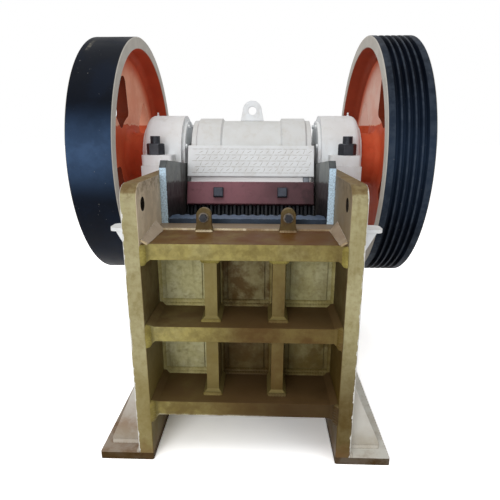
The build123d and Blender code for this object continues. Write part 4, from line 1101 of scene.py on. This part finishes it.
@dataclass
class Wheels:
    """The shaft and its two flywheels."""

    def dress(self) -> None:
        """Give the turning nodes their finish."""
        paint({
            "plain_wheel_rim": RIM, "grooved_wheel_rim": RIM, "plain_wheel_web": PLATE,
            "grooved_wheel_web": PLATE, "wheel_hubs": WEB, "eccentric_shaft": TURNED, "flywheel_keys": TURNED,
        })


@dataclass
class SwingJaw:
    """The pitman with its jaw, wedge bar, guard plate and tension rod."""

    toe: Vec = (0.0, -224.0, 130.0)
    lean_deg: float = 20.4
    guard_foot: float = 718.0
    guard_face: float = -22.0
    guard_half: float = 250.0
    guard_height: float = 126.0
    tread_rows: int = 5
    tread_pitch: float = 24.0
    tread_half: float = 11.0
    tread_long: float = 14.0
    tread_wide: float = 1.1
    tread_tall: float = 1.0
    tread_lean_deg: float = 48.0
    tread_stray: float = 0.4
    tread_wave: float = 2.4
    tread_start: float = 0.25
    strip_middle: float = 708.0
    strip_face: float = -6.0
    nut_across: float = 219.0
    nut_size: float = 24.0
    nut_thick: float = 9.0
    nut_edge: float = 3.0

    def dress(self) -> None:
        """Give the swinging nodes their finish."""
        paint({
            "pitman": PITMAN_WHITE, "moving_jaw_plate": JAW, "jaw_wedge_bar": MAROON,
            "wedge_bar_bolts": BAR_NUT, "pitman_guard_plate": WHITE, "lifting_eye": CAST_WHITE,
            "tension_rod": TURNED, "tension_spring": BLUED, "rod_nuts": BLUED,
        })

    def axes(self) -> tuple[np.ndarray, np.ndarray]:
        """Directions up the jaw and out of its back."""
        s, c = math.sin(math.radians(self.lean_deg)), math.cos(math.radians(self.lean_deg))
        return np.array([0.0, s, c]), np.array([0.0, c, -s])

    def place(self, across: float, along: float, off: float) -> np.ndarray:
        """Find a place in the leaning jaw's own frame.

        Args:
            across: Distance to the right of the middle.
            along: Distance up the jaw from its toe.
            off: Distance behind the jaw's back plane.

        Returns:
            The place in millimetres.
        """
        up, back = self.axes()
        return np.array(self.toe) + np.array([across, 0.0, 0.0]) + along * up + off * back

    def build(self) -> None:
        """Raise the guard plate's tread marks and add the small square nut under it."""
        up, back = self.axes()
        right = np.array([1.0, 0.0, 0.0])
        count = int(2 * self.guard_half / self.tread_pitch) - 1
        margin = (self.guard_height - (self.tread_rows - 1) * self.tread_pitch) / 2
        row, column = np.divmod(np.arange(self.tread_rows * count), count)
        across = (column - (count - 1) / 2 + row % 2 / 2 - self.tread_start) * self.tread_pitch
        level = self.place(0.0, self.guard_foot + margin, self.guard_face)
        spot = level + across[:, None] * right + (row * self.tread_pitch)[:, None] * up
        slanted = spot[row < self.tread_rows - 1] + self.tread_pitch / 2 * (right + up)
        order = np.arange(len(slanted))
        lean = math.radians(self.tread_lean_deg) + self.tread_stray * np.sin(self.tread_wave * order)
        axes, girth = (right, up, -back), (self.tread_wide, self.tread_tall)
        marks, nut = MeshPile(), MeshPile()
        marks.grids(lozenges(spot, np.zeros(len(spot)), axes, self.tread_long, *girth))
        marks.grids(lozenges(slanted, lean, axes, self.tread_half, *girth))
        marks.publish("guard_tread_marks", TREAD, "pitman", "white_paint")
        seat = self.place(self.nut_across, self.strip_middle, self.strip_face)
        nut.grids(slab(seat, axes, self.nut_size, self.nut_size, self.nut_thick, self.nut_edge))
        nut.publish("guard_square_nut", GUARD_NUT, "pitman", "fastener_steel")


def stand(name: str, data: bpy.types.ID, place: Vec, right: np.ndarray,
          forward: np.ndarray) -> bpy.types.Object:
    """Stand a camera or lamp, whose up is square to its right and forward directions.

    Args:
        name: Its name.
        data: The camera or lamp.
        place: Where it stands, in metres.
        right: Unit direction to its right.
        forward: Unit direction it looks in.

    Returns:
        The new object.
    """
    up = np.cross(right, forward)
    thing = bpy.data.objects.new(name, data)
    thing.matrix_world = Matrix([[right[i], up[i], -forward[i], place[i]] for i in range(3)] + [[0, 0, 0, 1]])
    bpy.context.scene.collection.objects.link(thing)
    return thing


@dataclass
class Studio:
    """Floor, lights and the camera of the photograph."""

    place: Vec = (0.0534, -1.7023, 0.982)
    yaw: float = -0.0321
    pitch: float = 0.2693
    roll: float = 0.0014
    focal_px: float = 429.53
    frame_px: float = 500.0
    sensor_mm: float = 36.0
    floor_half: float = 30.0
    floor_drop: float = 0.0005
    floor_grey: float = 0.8
    floor_seen: float = 2.4
    world_level: float = 0.5

    def camera(self) -> None:
        """Set the camera where the photograph was taken."""
        sy, cy = math.sin(self.yaw), math.cos(self.yaw)
        sp, cp = math.sin(self.pitch), math.cos(self.pitch)
        sr, cr = math.sin(self.roll), math.cos(self.roll)
        forward = np.array([sy * cp, cy * cp, -sp])
        level = np.array([cy, -sy, 0.0])
        rise = np.cross(level, forward)
        right = cr * level + sr * rise
        lens = bpy.data.cameras.new("photo_camera")
        lens.sensor_width = self.sensor_mm
        lens.lens = self.focal_px / self.frame_px * self.sensor_mm
        bpy.context.scene.camera = stand("photo_camera", lens, self.place, right, forward)

    def floor(self) -> None:
        """Lay a pale floor that is white to the eye away from the object's shadow."""
        mesh = bpy.data.meshes.new("floor")
        size, drop = self.floor_half, -self.floor_drop
        corners = [(-size, -size, drop), (size, -size, drop), (size, size, drop), (-size, size, drop)]
        mesh.from_pydata(corners, [], [(0, 1, 2, 3)])
        material = bpy.data.materials.new("pale_floor")
        tree = empty_tree(material)
        tone = add(tree, "ShaderNodeMapRange", {},
                   {"Value": self.seen(tree), "To Min": self.floor_grey, "To Max": self.floor_seen})
        shader = add(tree, "ShaderNodeBsdfDiffuse", {}, {"Color": tone.outputs["Result"]})
        add(tree, "ShaderNodeOutputMaterial", {}, {"Surface": shader.outputs["BSDF"]})
        mesh.materials.append(material)
        ground = bpy.data.objects.new("floor", mesh)
        bpy.context.scene.collection.objects.link(ground)

    def seen(self, tree: Tree) -> Socket:
        """Tell rays that see the surroundings, straight or in metal, from those that are lit by them.

        Args:
            tree: The node tree.

        Returns:
            1 for camera, glossy and transmission rays, else 0.
        """
        ray = add(tree, "ShaderNodeLightPath")
        metal = add(tree, "ShaderNodeMath", {"operation": "MAXIMUM"},
                    {0: ray.outputs["Is Camera Ray"], 1: ray.outputs["Is Glossy Ray"]})
        glass = add(tree, "ShaderNodeMath", {"operation": "MAXIMUM"},
                    {0: metal.outputs[0], 1: ray.outputs["Is Transmission Ray"]})
        return glass.outputs[0]

    def lights(self) -> None:
        """Hang soft lamps, the strongest at the upper left, and set the pale surroundings."""
        lamps = (
            ("top_softbox", (-0.6, -0.8, 4.2), (0.0, 0.2, 0.6), 3.5, 42.0),
            ("front_left_softbox", (-1.4, -4.4, 1.5), (0.0, 0.0, 0.6), 2.4, 70.0),
            ("front_right_softbox", (3.2, -3.0, 2.2), (0.0, 0.0, 0.6), 2.4, 12.0),
        )
        for name, place, target, size, power in lamps:
            lamp = bpy.data.lights.new(name, "AREA")
            lamp.shape = "DISK"
            lamp.size = size
            lamp.energy = power
            aim = np.array(target) - np.array(place)
            aim = aim / np.linalg.norm(aim)
            side = np.cross(aim, (0.0, 1.0, 0.0) if abs(aim[2]) > STEEP else (0.0, 0.0, 1.0))
            side = side / np.linalg.norm(side)
            stand(name, lamp, place, side, aim)
        world = bpy.data.worlds.new("studio")
        bpy.context.scene.world = world
        tree = empty_tree(world)
        strength = add(tree, "ShaderNodeMapRange", {},
                       {"Value": self.seen(tree), "To Min": self.world_level, "To Max": 1.0})
        back = add(tree, "ShaderNodeBackground", {},
                   {"Color": (1.0, 1.0, 1.0, 1.0), "Strength": strength.outputs["Result"]})
        add(tree, "ShaderNodeOutputWorld", {}, {"Surface": back.outputs["Background"]})


def main() -> None:
    """Build and dress the crusher, then set the studio."""
    logging.basicConfig(level=logging.INFO, format="%(message)s")
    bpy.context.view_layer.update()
    welded, bearings, swing = WeldedFrame(), Bearings(), SwingJaw()
    for part in (welded, CrushingChamber(), bearings, Wheels(), swing):
        part.dress()
    for part in (welded, bearings, swing):
        part.build()
    studio = Studio()
    studio.floor()
    studio.lights()
    studio.camera()
    bpy.context.scene.view_settings.view_transform = "Standard"


if __name__ == "__main__":
    main()
